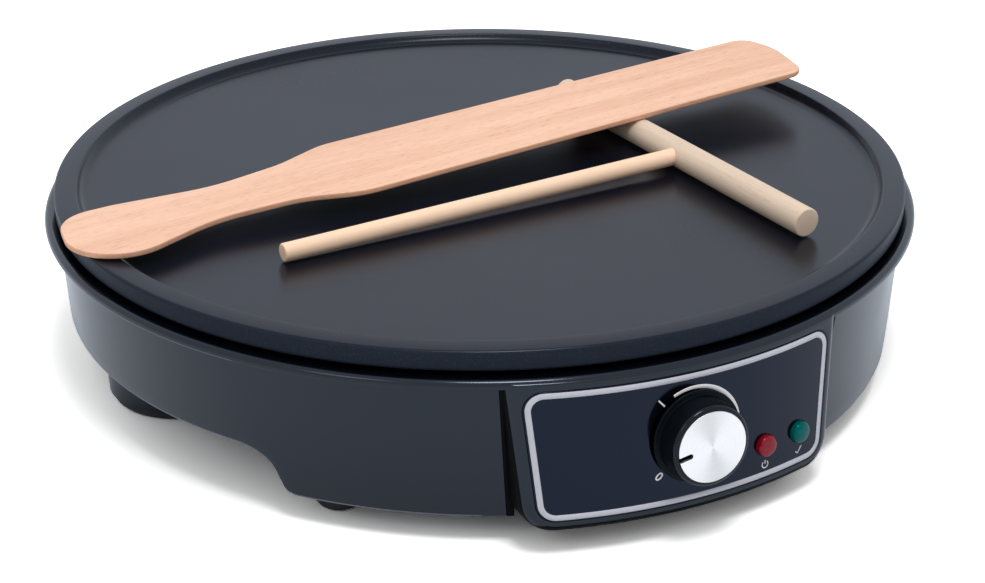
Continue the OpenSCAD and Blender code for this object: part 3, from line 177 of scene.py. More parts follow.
class CrepeToolSizes(bpy.types.PropertyGroup):
    bar_radius: length("Bar radius", "Radius of the spreader's cross-bar", 5 * MM)
    bar_length: length("Bar length", "Length of the cross-bar", 148 * MM)
    bar_place: FloatVectorProperty(name="Bar place", description="Middle of the cross-bar",
                                   default=(64.5 * MM, -28.5 * MM, 69.3 * MM), size=3,
                                   subtype="TRANSLATION", unit="LENGTH")
    bar_direction: angle("Bar direction", "Direction of the cross-bar", 95.8)
    handle_radius: length("Handle radius", "Radius of the spreader's handle", 3.1 * MM)
    handle_length: length("Handle length", "Length of the handle from the bar's axis", 157 * MM)
    handle_place: FloatProperty(name="Handle place", description="Place of the handle along the cross-bar",
                                default=-3 * MM, subtype="DISTANCE", unit="LENGTH")
    spatula_length: length("Spatula length", "Length of the spatula", 295 * MM)
    blade_width: length("Blade width", "Width of the blade", 44 * MM)
    blade_length: length("Blade length", "Length of the blade", 197 * MM)
    grip_width: length("Grip width", "Width of the grip at its narrowest", 27 * MM)
    grip_end: length("Grip end", "Width of the grip's end", 39.5 * MM)
    spatula_thickness: length("Thickness", "Thickness of the spatula", 2.2 * MM)
    spatula_direction: angle("Spatula direction", "Direction of the spatula", 7.35)
    spatula_place: FloatVectorProperty(name="Spatula place", description="Middle of the blade's end",
                                       default=(139.7 * MM, 25.4 * MM), size=2,
                                       subtype="TRANSLATION", unit="LENGTH")
    softness: length("Softness", "Rounding of the wooden edges", 0.6 * MM)


class CrepeFinishes(bpy.types.PropertyGroup):
    coating: colour("Coating", "Non-stick coating of the plate", (0.003, 0.004, 0.009))
    # Painted reflection: the outer side's colour is lighter and bluish, standing in for what it reflects, and
    # its gloss is turned down
    side_painted_reflection: colour("Coating side, painted reflection", "Coating on the plate's outer side", (0.016, 0.021, 0.034))
    speckle: colour("Speckle", "Pale specks in the coating", (0.035, 0.06, 0.075))
    housing: colour("Housing", "Moulded navy housing", (0.0015, 0.002, 0.004))
    panel: colour("Panel", "Glossy black panel", (0.0006, 0.0007, 0.0014))
    silver: colour("Silver", "Printed border and scale", (0.56, 0.57, 0.64))
    white: colour("White", "Printed numbers", (0.82, 0.82, 0.84))
    dial: colour("Dial", "Black dial", (0.001, 0.002, 0.003))
    aluminium: colour("Aluminium", "Spun cap of the dial", (0.97, 0.93, 0.885))
    red: colour("Red", "Power lamp's lens", (0.26, 0.003, 0.012))
    green: colour("Green", "Ready lamp's lens", (0.0, 0.095, 0.088))
    rubber: colour("Rubber", "Pads and feet", (0.006, 0.007, 0.009))
    spatula_light: colour("Spatula, light", "Light wood of the spatula", (0.93, 0.61, 0.45))
    spatula_dark: colour("Spatula, dark", "Dark grain of the spatula", (0.72, 0.40, 0.26))
    # Painted shade: darker copies of the spatula's wood tones for its upright sides
    side_light: colour("Spatula side, painted shade light", "Light tone of the spatula's sides", (0.80, 0.46, 0.30))
    side_shade_dark: colour("Spatula side, painted shade dark", "Dark tone of the spatula's sides", (0.60, 0.30, 0.19))
    handle_light: colour("Handle, light", "Light wood of the spreader's handle", (1.0, 0.73, 0.53))
    handle_dark: colour("Handle, dark", "Dark grain of the spreader's handle", (0.94, 0.61, 0.42))
    bar_light: colour("Bar, light", "Light wood of the spreader's bar", (0.80, 0.67, 0.54))
    bar_dark: colour("Bar, dark", "Dark grain of the spreader's bar", (0.66, 0.49, 0.36))


class CrepeStudio(bpy.types.PropertyGroup):
    floor: colour("Floor", "Pale floor", (0.80, 0.80, 0.80))
    sky: factor("Sky", "Strength of the soft light from overhead", 1.06, 2.0)
    horizon: factor("Horizon", "Strength of the soft light from the horizon", 0.2, 2.0)
    floor_seen: colour("Floor seen", "Tone of the floor to the camera", (1.7, 1.7, 1.7), 4.0)
    floor_tone: colour("Floor tone", "Tone of the floor in glossy surfaces", (0.91, 0.98, 1.09), 4.0)
    sky_tone: colour("Sky tone", "Tone of the sky in glossy surfaces", (0.82, 0.88, 1.0))
    key: FloatProperty(name="Key light", description="Power of the soft light overhead",
                       default=7.0, min=0.0, unit="POWER")
    side_light: FloatProperty(name="Side light", description="Power of the soft light from the left",
                              default=1.3, min=0.0, unit="POWER")
    camera_distance: length("Camera distance", "Distance of the camera from the rim's middle", 0.7183288)
    camera_rise: angle("Camera rise", "Height of the camera over the rim's plane", 21.855330)
    camera_side: angle("Camera side", "Turn of the camera round the plate's axis", -24.4)
    camera_pan: angle("Camera pan", "Turn of the view to the side", -0.340213)
    camera_tilt: angle("Camera tilt", "Turn of the view upwards", -3.780396)
    camera_roll: angle("Camera roll", "Turn of the view about its axis", 0.266194)
    lens: FloatProperty(name="Lens", description="Focal length on a 36 mm sensor", default=73.096,
                        min=1.0)


class CrepeMaker(bpy.types.PropertyGroup):
    plate: PointerProperty(type=CrepePlateSizes)
    housing: PointerProperty(type=CrepeHousingSizes)
    panel: PointerProperty(type=CrepePanelSizes)
    dial: PointerProperty(type=CrepeDialSizes)
    tools: PointerProperty(type=CrepeToolSizes)
    finishes: PointerProperty(type=CrepeFinishes)
    studio: PointerProperty(type=CrepeStudio)


# ---------------------------------------------------------------- nodes

def fill(tree, node, sockets):
    """Sets or links a node's sockets, and gives the node back."""
    for key, value in sockets.items():
        if isinstance(value, bpy.types.NodeSocket):
            tree.links.new(value, node.inputs[key])
        else:
            node.inputs[key].default_value = value
    return node


def add(tree, kind, sockets=(), **settings):
    """Adds a node with its settings and its sockets."""
    node = tree.nodes.new(kind)
    for key, value in settings.items():
        setattr(node, key, value)
    return fill(tree, node, dict(sockets))


def calc(tree, operation, first, second=0.0, third=0.0):
    """Result of a Math node."""
    return add(tree, "ShaderNodeMath", {0: first, 1: second, 2: third},
               operation=operation).outputs[0]


def remap(tree, value, low, high, start, end):
    """A value moved from the range low to high into the range start to end."""
    return add(tree, "ShaderNodeMapRange", {0: value, 1: low, 2: high, 3: start, 4: end}).outputs[0]


def mix(tree, share, first, second, blend="MIX"):
    """Two colours mixed by a share."""
    return add(tree, "ShaderNodeMix", {0: share, 6: first, 7: second}, data_type="RGBA",
               blend_type=blend).outputs[2]


def noise(tree, place, scale, detail, rough=0.5, distortion=0.0):
    """Noise over given coordinates."""
    return add(tree, "ShaderNodeTexNoise", {"Vector": place, "Scale": scale, "Detail": detail,
                                            "Roughness": rough, "Distortion": distortion}).outputs[0]


def stretched(tree, place, scale):
    """Coordinates multiplied axis by axis."""
    return add(tree, "ShaderNodeVectorMath", {0: place, 1: scale}, operation="MULTIPLY").outputs[0]


def socket(tree, name, kind, default=None, out=False, low=None):
    """A named socket on a node group."""
    item = tree.interface.new_socket(name=name, in_out="OUTPUT" if out else "INPUT",
                                     socket_type="NodeSocket" + kind)
    if default is not None:
        item.default_value = default
    if low is not None:
        item.min_value = low


# ---------------------------------------------------------------- shader groups

def shader_group(name, inputs, outputs):
    """A new shader group, and what its named inputs give."""
    tree = bpy.data.node_groups.new(name, "ShaderNodeTree")
    for label, kind, default in inputs:
        socket(tree, label, kind, default)
    for label, kind in outputs:
        socket(tree, label, kind, out=True)
    return tree, tree.nodes.new("NodeGroupInput").outputs


def speckle_group():
    """Fine pale specks, such as those in a non-stick coating."""
    tree, given = shader_group("Coating speckle",
                               (("Vector", "Vector", None), ("Scale", "Float", 900.0),
                                ("Share", "Float", 0.3)),
                               (("Mask", "Float"), ("Height", "Float")))
    place, scale = given["Vector"], given["Scale"]
    cells = add(tree, "ShaderNodeTexVoronoi", {"Vector": place, "Scale": scale})
    pick = add(tree, "ShaderNodeSeparateColor", {0: cells.outputs["Color"]})
    chosen = calc(tree, "LESS_THAN", pick.outputs[0], given["Share"])
    mask = calc(tree, "MULTIPLY", chosen, remap(tree, cells.outputs["Distance"], 0.18, 0.42, 1.0, 0.0))
    add(tree, "NodeGroupOutput", {
        "Mask": calc(tree, "MULTIPLY", mask, pick.outputs[1]),
        "Height": calc(tree, "MULTIPLY_ADD", mask, 0.3, noise(tree, place, scale, 3.0))})


def moulding_group():
    """Faint orange peel and handling marks of moulded plastic and rubber."""
    tree, given = shader_group("Moulded skin",
                               (("Vector", "Vector", None), ("Peel Scale", "Float", 350.0),
                                ("Mark Scale", "Float", 22.0), ("Roughness", "Float", 0.2),
                                ("Variation", "Float", 0.05)),
                               (("Height", "Float"), ("Roughness", "Float")))
    marks = noise(tree, given["Vector"], given["Mark Scale"], 5.0, 0.6)
    low = calc(tree, "SUBTRACT", given["Roughness"], given["Variation"])
    high = calc(tree, "ADD", given["Roughness"], given["Variation"])
    add(tree, "NodeGroupOutput", {
        "Height": noise(tree, given["Vector"], given["Peel Scale"], 2.0),
        "Roughness": remap(tree, marks, 0.35, 0.65, low, high)})


def metal_group():
    """Mottle and fine scratches of plated or bare sheet metal."""
    tree, given = shader_group("Sheet metal",
                               (("Vector", "Vector", None), ("Colour", "Color", (0.6, 0.6, 0.6, 1.0)),
                                ("Tarnish", "Color", (0.4, 0.4, 0.4, 1.0)), ("Scale", "Float", 90.0),
                                ("Roughness", "Float", 0.35)),
                               (("Colour", "Color"), ("Roughness", "Float"), ("Height", "Float")))
    mottle = noise(tree, given["Vector"], given["Scale"], 4.0)
    share = remap(tree, mottle, 0.45, 0.75, 0.0, 0.5)
    smoothest = calc(tree, "SUBTRACT", given["Roughness"], 0.12)
    add(tree, "NodeGroupOutput", {
        "Colour": mix(tree, share, given["Colour"], given["Tarnish"]),
        "Roughness": calc(tree, "MULTIPLY_ADD", mottle, 0.25, smoothest),
        "Height": noise(tree, stretched(tree, given["Vector"], (1.0, 14.0, 14.0)), 160.0, 2.0)})


def beech_group():
    """Sanded beech: long soft bands, fine fibres and short dark flecks along X."""
    tree, given = shader_group("Beech grain",
                               (("Vector", "Vector", None), ("Light", "Color", (0.85, 0.6, 0.4, 1.0)),
                                ("Dark", "Color", (0.6, 0.36, 0.2, 1.0)), ("Bands", "Float", 0.5),
                                ("Flecks", "Float", 0.5)),
                               (("Colour", "Color"), ("Height", "Float"), ("Roughness", "Float")))

    def streaks(scale, detail, rough=0.5):
        """Noise drawn out along X."""
        return noise(tree, stretched(tree, given["Vector"], scale), 1.0, detail, rough, 0.15)

    fibres = streaks((45.0, 1500.0, 1500.0), 3.0, 0.6)
    band = remap(tree, streaks((5.0, 110.0, 110.0), 2.0), 0.35, 0.7, 0.0, given["Bands"])
    fibre = remap(tree, fibres, 0.35, 0.7, 0.0, 0.35)
    fleck = remap(tree, streaks((260.0, 1700.0, 1700.0), 1.0), 0.60, 0.72, 0.0, given["Flecks"])
    share = calc(tree, "ADD", calc(tree, "ADD", band, fibre), fleck)
    add(tree, "NodeGroupOutput", {
        "Colour": mix(tree, share, given["Light"], given["Dark"]),
        "Height": calc(tree, "SUBTRACT", calc(tree, "MULTIPLY", fibres, 0.7), fleck),
        "Roughness": remap(tree, fibres, 0.3, 0.7, 0.58, 0.72)})


# ---------------------------------------------------------------- materials

def rgba(value):
    """A colour with full opacity."""
    return (*tuple(value)[:3], 1.0)


def new_material(name):
    """An empty material with its output, its shader and its Object coordinates."""
    material = bpy.data.materials.new(name)
    material.use_nodes = True
    tree = material.node_tree
    tree.nodes.clear()
    shader = add(tree, "ShaderNodeBsdfPrincipled")
    add(tree, "ShaderNodeOutputMaterial", {"Surface": shader.outputs[0]})
    place = add(tree, "ShaderNodeTexCoord").outputs["Object"]
    return material, tree, shader, place


def use_group(tree, name, sockets):
    """What a shader group gives, placed in a material with its own values."""
    return add(tree, "ShaderNodeGroup", sockets, node_tree=bpy.data.node_groups[name]).outputs


def bumped(tree, height, distance):
    """Normal of a bump whose height is in units of distance."""
    return add(tree, "ShaderNodeBump", {"Strength": 1.0, "Distance": distance, "Height": height}).outputs[0]


def plastic(name, base, roughness, variation=0.05, level=0.5, tint=(1.0, 1.0, 1.0), bump=0.004 * MM,
            peel=350.0):
    """Moulded plastic, rubber or wire insulation."""
    material, tree, shader, place = new_material(name)
    skin = use_group(tree, "Moulded skin", {"Vector": place, "Roughness": roughness,
                                            "Variation": variation, "Peel Scale": peel})
    fill(tree, shader, {"Base Color": rgba(base), "Specular IOR Level": level,
                        "Specular Tint": rgba(tint), "Roughness": skin["Roughness"],
                        "Normal": bumped(tree, skin["Height"], bump)})
    return material


def metal(name, base, tarnish, roughness, scale):
    """Plated, bare or tarnished metal."""
    material, tree, shader, place = new_material(name)
    sheet = use_group(tree, "Sheet metal", {"Vector": place, "Colour": rgba(base),
                                            "Tarnish": rgba(tarnish), "Scale": scale,
                                            "Roughness": roughness})
    fill(tree, shader, {"Metallic": 1.0, "Base Color": sheet["Colour"], "Roughness": sheet["Roughness"],
                        "Normal": bumped(tree, sheet["Height"], 0.01 * MM)})
    return material


def coated_plate(name, base, speckle, level, smooth):
    """Satin non-stick coating with fine pale specks, most of them on upright faces."""
    material, tree, shader, place = new_material(name)
    specks = use_group(tree, "Coating speckle", {"Vector": place, "Scale": 1900.0, "Share": 0.5})
    smudge = noise(tree, place, 14.0, 6.0, 0.62)
    normal = add(tree, "ShaderNodeNewGeometry").outputs["Normal"]
    up = add(tree, "ShaderNodeSeparateXYZ", {0: normal}).outputs["Z"]
    amount = calc(tree, "MULTIPLY", specks["Mask"], remap(tree, up, 0.35, 0.85, 1.0, 0.22))
    fill(tree, shader, {"Specular IOR Level": level, "Specular Tint": (0.85, 0.92, 1.0, 1.0),
                        "Base Color": mix(tree, amount, rgba(base), rgba(speckle)),
                        "Roughness": remap(tree, smudge, 0.3, 0.7, smooth, smooth + 0.07),
                        "Normal": bumped(tree, specks["Height"], 0.012 * MM)})
    return material


def wood(name, light, dark, direction, bands, flecks):
    """Bare sanded beech with its grain along a direction in the plate's plane."""
    material, tree, shader, place = new_material(name)
    along = add(tree, "ShaderNodeMapping", {"Vector": place, "Rotation": (0.0, 0.0, -direction)},
                vector_type="POINT")
    grain = use_group(tree, "Beech grain", {"Vector": along.outputs[0], "Light": rgba(light),
                                            "Dark": rgba(dark), "Bands": bands, "Flecks": flecks})
    fill(tree, shader, {"Specular IOR Level": 0.3, "Base Color": grain["Colour"],
                        "Roughness": grain["Roughness"],
                        "Normal": bumped(tree, grain["Height"], 0.03 * MM)})
    return material


def spun_cap(name, base):
    """Aluminium turned on a lathe: fine rings, bright and dull sectors of painted reflection in its colour,
    and a stretched highlight.
    """
    material, tree, shader, _ = new_material(name)
    lathe = add(tree, "ShaderNodeUVMap", uv_map="turned")
    parts = add(tree, "ShaderNodeSeparateXYZ", {0: lathe.outputs[0]})
    rings = add(tree, "ShaderNodeTexNoise", {"W": calc(tree, "MULTIPLY", parts.outputs["Y"], 60.0),
                                             "Scale": 1.0, "Detail": 4.0}, noise_dimensions="1D").outputs[0]
    turn = calc(tree, "MULTIPLY", parts.outputs["X"], 2 * math.pi)
    # Painted reflection: two opposite sectors of the colour are darkened, as the conic highlight of spun
    # metal would show them.
    painted_sheen_sector = calc(tree, "POWER", calc(tree, "ABSOLUTE", calc(tree, "SINE", turn)), 6.0)
    bright = remap(tree, rings, 0.3, 0.7, 0.95, 1.0)
    shade = remap(tree, painted_sheen_sector, 0.0, 1.0, bright, calc(tree, "MULTIPLY", bright, 0.76))
    tangent = add(tree, "ShaderNodeTangent", direction_type="UV_MAP", uv_map="turned").outputs[0]
    fill(tree, shader, {"Metallic": 1.0, "Anisotropic": 0.75, "Tangent": tangent,
                        "Base Color": mix(tree, 1.0, rgba(base), shade, "MULTIPLY"),
                        "Roughness": remap(tree, rings, 0.3, 0.7, 0.26, 0.34)})
    return material


def lens_plastic(name, base, shine):
    """Tinted lens with a faint painted glow of its own tint, and small facets inside that break up the light.
    """
    material, tree, shader, place = new_material(name)
    facets = add(tree, "ShaderNodeTexVoronoi", {"Vector": place, "Scale": 1100.0}).outputs["Distance"]
    tint = mix(tree, 1.0, rgba(base), remap(tree, facets, 0.1, 0.6, 1.0, 0.72), "MULTIPLY")
    skin = use_group(tree, "Moulded skin", {"Vector": place, "Roughness": 0.12, "Variation": 0.04})
    # Painted glow: the lens gives off a little light of its own tint
    fill(tree, shader, {"Base Color": tint, "Emission Color": tint, "Emission Strength": 0.10,
                        "Roughness": skin["Roughness"], "Specular IOR Level": 0.35,
                        "Specular Tint": rgba(shine), "Normal": bumped(tree, facets, 0.04 * MM)})
    return material


def clear_glass(name, base):
    """Clear glass of the small lamps behind the lenses."""
    material, tree, shader, place = new_material(name)
    skin = use_group(tree, "Moulded skin", {"Vector": place, "Roughness": 0.06, "Variation": 0.03})
    fill(tree, shader, {"Base Color": rgba(base), "Transmission Weight": 0.8,
                        "Roughness": skin["Roughness"],
                        "Normal": bumped(tree, skin["Height"], 0.01 * MM)})
    return material


def printed(name, base, roughness):
    """Silver or white ink with a slightly broken surface."""
    material, tree, shader, place = new_material(name)
    ink = noise(tree, place, 1500.0, 3.0)
    shade = remap(tree, ink, 0.3, 0.7, 0.90, 1.0)
    fill(tree, shader, {"Base Color": mix(tree, 1.0, rgba(base), shade, "MULTIPLY"),
                        "Roughness": remap(tree, ink, 0.3, 0.7, roughness - 0.06, roughness + 0.06),
                        "Normal": bumped(tree, ink, 0.006 * MM)})
    return material


MATERIALS = {}


def make_materials(maker):
    """Every finish, most of them under the name of a slot."""
    finishes, tools = maker.finishes, maker.tools
    sheen, gloss, highlight_grey = (0.76, 0.86, 1.0), (0.53, 0.65, 1.0), (0.12, 0.12, 0.145)
    for build in (speckle_group, moulding_group, metal_group, beech_group):
        build()
    MATERIALS.update({
        "nonstick": coated_plate("Non-stick coating", finishes.coating, finishes.speckle, 0.26, 0.21),
        # Painted reflection on the plate's outer side: a lighter bluish copy of the coating with little gloss
        "nonstick_painted_side": coated_plate("Non-stick coating, side", finishes.side_painted_reflection,
                                      finishes.speckle, 0.05, 0.28),
        "housing_plastic": plastic("Navy housing", finishes.housing, 0.16, 0.05, 0.50, sheen),
        # Painted highlight: a lighter grey along the flange's lower edge on the left and along the wall's
        # lower edge
        "housing_painted_highlight": plastic("Burnished edge", highlight_grey, 0.35, 0.05, 0.50, sheen),
        # Painted shade: near black and nearly without gloss, put on the seam round the panel block
        "housing_painted_shade": plastic("Unlit seam", (0.0005, 0.0005, 0.001), 0.45, 0.05, 0.05),
        "panel_plastic": plastic("Black panel", finishes.panel, 0.10, 0.03, 0.38, gloss),
        "silver_print": printed("Silver print", finishes.silver, 0.42),
        "white_print": printed("White print", finishes.white, 0.5),
        "dial_black": plastic("Dial black", finishes.dial, 0.42, 0.05, 0.12, (0.75, 0.95, 1.0)),
        "dial_polish": plastic("Polished dial ring", finishes.dial, 0.15, 0.04, 0.30, (0.85, 0.9, 1.0)),
        "spun_aluminium": spun_cap("Spun aluminium", finishes.aluminium),
        "element_steel": metal("Heat-tinted steel", (0.36, 0.33, 0.30), (0.20, 0.15, 0.12), 0.42, 60.0),
        "zinc_steel": metal("Zinc plate", (0.62, 0.63, 0.64), (0.46, 0.47, 0.45), 0.36, 180.0),
        "bright_steel": metal("Bright steel", (0.60, 0.60, 0.60), (0.48, 0.47, 0.46), 0.28, 120.0),
        "bare_aluminium": metal("Bare aluminium", (0.74, 0.75, 0.76), (0.60, 0.61, 0.62), 0.34, 70.0),
        "bimetal": metal("Bimetal", (0.50, 0.45, 0.36), (0.36, 0.31, 0.25), 0.40, 110.0),
        "contact_copper": metal("Copper leaf", (0.72, 0.40, 0.24), (0.42, 0.24, 0.15), 0.34, 140.0),
        "brass_tab": metal("Brass", (0.76, 0.58, 0.27), (0.52, 0.40, 0.20), 0.34, 140.0),
        "fuse_body": metal("Tinned fuse", (0.64, 0.59, 0.42), (0.5, 0.46, 0.36), 0.38, 150.0),
        "red_lens": lens_plastic("Red lens", finishes.red, (1.0, 0.8, 0.85)),
        "green_lens": lens_plastic("Green lens", finishes.green, (0.1, 0.9, 0.9)),
        "neon_glass": clear_glass("Lamp glass", (0.92, 0.88, 0.84)),
        "white_ceramic": plastic("Steatite", (0.80, 0.78, 0.72), 0.62, 0.08, bump=0.03 * MM, peel=900.0),
        "rubber_black": plastic("Black rubber", finishes.rubber, 0.66, 0.08, bump=0.02 * MM, peel=900.0),
        "nylon_black": plastic("Black nylon", (0.018, 0.018, 0.020), 0.46, 0.08, bump=0.015 * MM,
                               peel=700.0),
        "glass_sleeve": plastic("Glass-fibre sleeve", (0.80, 0.77, 0.69), 0.80, 0.08, bump=0.10 * MM,
                                peel=1800.0),
        "wire_brown": plastic("Brown insulation", (0.16, 0.06, 0.03), 0.45),
        "wire_red": plastic("Red insulation", (0.32, 0.03, 0.025), 0.45),
        "wire_blue": plastic("Blue insulation", (0.03, 0.09, 0.30), 0.45),
        "wire_green": plastic("Green insulation", (0.08, 0.30, 0.05), 0.45),
        "spreader_wood": wood("Spreader handle beech", finishes.handle_light, finishes.handle_dark,
                              tools.bar_direction - math.pi / 2, 0.35, 0.35),
        "bar_wood": wood("Spreader bar beech", finishes.bar_light, finishes.bar_dark,
                         tools.bar_direction, 0.35, 0.35),
        "spatula_wood": wood("Spatula beech", finishes.spatula_light, finishes.spatula_dark,
                             tools.spatula_direction, 0.42, 0.55),
        # Painted shade: a darker copy of the spatula's wood for its sides
        "spatula_painted_side_shade": wood("Spatula beech side", finishes.side_light, finishes.side_shade_dark,
                             tools.spatula_direction, 0.42, 0.55),
    })


# ---------------------------------------------------------------- outlines and meshes

def unit(vector):
    """The vector with length one."""
    return vector / np.linalg.norm(vector)


def rounded(points, steps=6):
    """Outline through (x, y, corner radius) points."""
    outline = []
    count = len(points)
    for i, (x, y, radius) in enumerate(points):
        here = np.array([x, y])
        before = np.array(points[i - 1][:2])
        after = np.array(points[(i + 1) % count][:2])
        if radius == 0:
            outline.append(here)
            continue
        u, v = unit(before - here), unit(after - here)
        half = math.acos(float(u @ v)) / 2
        middle = here + unit(u + v) * radius / math.sin(half)
        start = here + u * radius / math.tan(half) - middle
        end = here + v * radius / math.tan(half) - middle
        first = math.atan2(start[1], start[0])
        turn = (math.atan2(end[1], end[0]) - first + 3 * math.pi) % (2 * math.pi) - math.pi
        for k in range(steps + 1):
            at = first + turn * k / steps
            outline.append(middle + radius * np.array([math.cos(at), math.sin(at)]))
    return np.array(outline)


def quarter(radius, degrees):
    """Steps round an edge of that radius, as distances from its side and from its front."""
    return [(radius * (1 - math.sin(a)), radius * (1 - math.cos(a))) for a in np.radians(degrees)]


def linked(name, data):
    """A new object in the scene from its data."""
    thing = bpy.data.objects.new(name, data)
    bpy.context.scene.collection.objects.link(thing)
    return thing


def mesh_object(name, vertices, faces):
    """A new object in the scene from vertices and faces."""
    mesh = bpy.data.meshes.new(name)
    mesh.from_pydata([tuple(v) for v in vertices], [], [tuple(f) for f in faces])
    return linked(name, mesh)


def quads(rows, columns, close_rows=False, close_columns=False):
    """Faces of a grid whose points are numbered row by row."""
    faces = []
    for j in range(rows if close_rows else rows - 1):
        here, ahead = j * columns, (j + 1) % rows * columns
        for i in range(columns if close_columns else columns - 1):
            k = (i + 1) % columns
            faces.append((here + i, here + k, ahead + k, ahead + i))
    return faces


def clean(piece, sharp=35.0, outward=True):
    """Merges doubles, turns faces outwards, and shades smooth up to the sharp angle."""
    work = bmesh.new()
    work.from_mesh(piece.data)
    bmesh.ops.remove_doubles(work, verts=work.verts, dist=1e-6)
    bmesh.ops.dissolve_degenerate(work, edges=work.edges, dist=1e-7)
    if outward:
        bmesh.ops.recalc_face_normals(work, faces=work.faces)
    limit = math.radians(sharp)
    for face in work.faces:
        face.smooth = True
    for edge in work.edges:
        edge.smooth = not (len(edge.link_faces) == 2 and edge.calc_face_angle(0.0) > limit)
    work.to_mesh(piece.data)
    work.free()
    piece.data.update()
    return piece


def stack(name, loops, fans=(None, None)):
    """Closed piece from loops of equal length; each end is a fan to a point or one flat face."""
    count = len(loops[0])
    vertices = np.concatenate(loops)
    faces = quads(len(loops), count, close_columns=True)
    for end, start in zip(fans, (0, (len(loops) - 1) * count)):
        ring = list(range(start, start + count))
        if end is None:
            faces.append(ring)
        else:
            vertices = np.vstack([vertices, end])
            top = len(vertices) - 1
            faces += [(ring[i], ring[(i + 1) % count], top) for i in range(count)]
    return mesh_object(name, vertices, faces)


def prism(name, outline, low, high):
    """Closed upright piece between two heights."""
    return clean(stack(name, [np.column_stack([outline, np.full(len(outline), z)]) for z in (low, high)]))


def join(name, pieces):
    """One object from several."""
    work = bmesh.new()
    for piece in pieces:
        work.from_mesh(piece.data)
    mesh = bpy.data.meshes.new(name)
    work.to_mesh(mesh)
    work.free()
    for piece in pieces:
        bpy.data.objects.remove(piece)
    return linked(name, mesh)


def settle(piece):
    """Turns the evaluated object into a plain mesh and takes its modifiers off."""
    bpy.context.view_layer.update()
    graph = bpy.context.evaluated_depsgraph_get()
    mesh = bpy.data.meshes.new_from_object(piece.evaluated_get(graph), preserve_all_data_layers=True,
                                           depsgraph=graph)
    mesh.name = piece.name
    piece.modifiers.clear()
    piece.data = mesh
    return piece


def carve(piece, cutter):
    """Cuts the shape of another object out of a piece, and removes that object."""
    cut = piece.modifiers.new("cut", "BOOLEAN")
    cut.operation, cut.solver, cut.object = "DIFFERENCE", "EXACT", cutter
    settle(piece)
    bpy.data.objects.remove(cutter)
    return piece


def drill(piece, holes, sides=64):
    """Cuts round holes, each given as (matrix, radius, from, to) along its own Z."""
    for matrix, radius, low, high in holes:
        angles = [2 * math.pi * k / sides for k in range(sides)]
        outline = [(radius * math.cos(a), radius * math.sin(a)) for a in angles]
        cutter = prism("cutter", outline, low, high)
        cutter.data.transform(matrix)
        carve(piece, cutter)
    return piece


def dress(piece, body, slot, *nodes, material=None):
    """Gives a piece its finish, its body and the CAD nodes that it stands for."""
    piece.data.materials.clear()
    piece.data.materials.append(MATERIALS[material or slot])
    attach(piece, body)
    if nodes:
        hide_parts(*nodes)
    return piece


def paint(piece, finish, chosen):
    """Gives the faces that a test of middle and normal picks another finish."""
    piece.data.materials.append(MATERIALS[finish])
    for polygon in piece.data.polygons:
        if chosen(polygon.center, polygon.normal):
            polygon.material_index = len(piece.data.materials) - 1


# ---------------------------------------------------------------- geometry nodes

def geometry_tree(name):
    """A new tree that takes a mesh and gives one."""
    tree = bpy.data.node_groups.new(name, "GeometryNodeTree")
    tree.is_modifier = True
    socket(tree, "Geometry", "Geometry", out=True)
    socket(tree, "Geometry", "Geometry")
    return tree


def end_tree(tree, geometry, material):
    """Ends a tree in Realize Instances and Set Material."""
    real = add(tree, "GeometryNodeRealizeInstances", {"Geometry": geometry})
    painted = add(tree, "GeometryNodeSetMaterial", {"Geometry": real.outputs[0], "Material": material})
    add(tree, "NodeGroupOutput", {0: painted.outputs[0]})


def turned_tree():
    """Revolves a profile, given as a row of vertices in X and Z, about the Z axis."""
    tree = geometry_tree("Turned piece")
    socket(tree, "Segments", "Int", 128, low=3)
    socket(tree, "Material", "Material")
    given = tree.nodes.new("NodeGroupInput").outputs
    profile, segments = given["Geometry"], given["Segments"]
    rows = add(tree, "GeometryNodeAttributeDomainSize", {0: profile}).outputs["Point Count"]
    grid = add(tree, "GeometryNodeMeshGrid", {"Size X": 1.0, "Size Y": 1.0,
                                              "Vertices X": calc(tree, "ADD", segments, 1.0),
                                              "Vertices Y": rows})
    index = add(tree, "GeometryNodeInputIndex").outputs[0]
    row = calc(tree, "MODULO", index, rows)
    column = calc(tree, "FLOOR", calc(tree, "DIVIDE", index, rows))
    turn = calc(tree, "DIVIDE", calc(tree, "MULTIPLY", column, 2 * math.pi), segments)
    place = add(tree, "GeometryNodeInputPosition").outputs[0]
    point = add(tree, "GeometryNodeSampleIndex", {"Geometry": profile, "Value": place, "Index": row},
                data_type="FLOAT_VECTOR", domain="POINT")
    parts = add(tree, "ShaderNodeSeparateXYZ", {0: point.outputs[0]}).outputs
    x = calc(tree, "MULTIPLY", parts[0], calc(tree, "COSINE", turn))
    y = calc(tree, "MULTIPLY", parts[0], calc(tree, "SINE", turn))
    moved = add(tree, "ShaderNodeCombineXYZ", {0: x, 1: y, 2: parts[2]})
    shaped = add(tree, "GeometryNodeSetPosition", {"Geometry": grid.outputs["Mesh"],
                                                   "Position": moved.outputs[0]})
    merged = add(tree, "GeometryNodeMergeByDistance", {"Geometry": shaped.outputs[0], "Distance": 2e-6})
    end_tree(tree, merged.outputs[0], given["Material"])


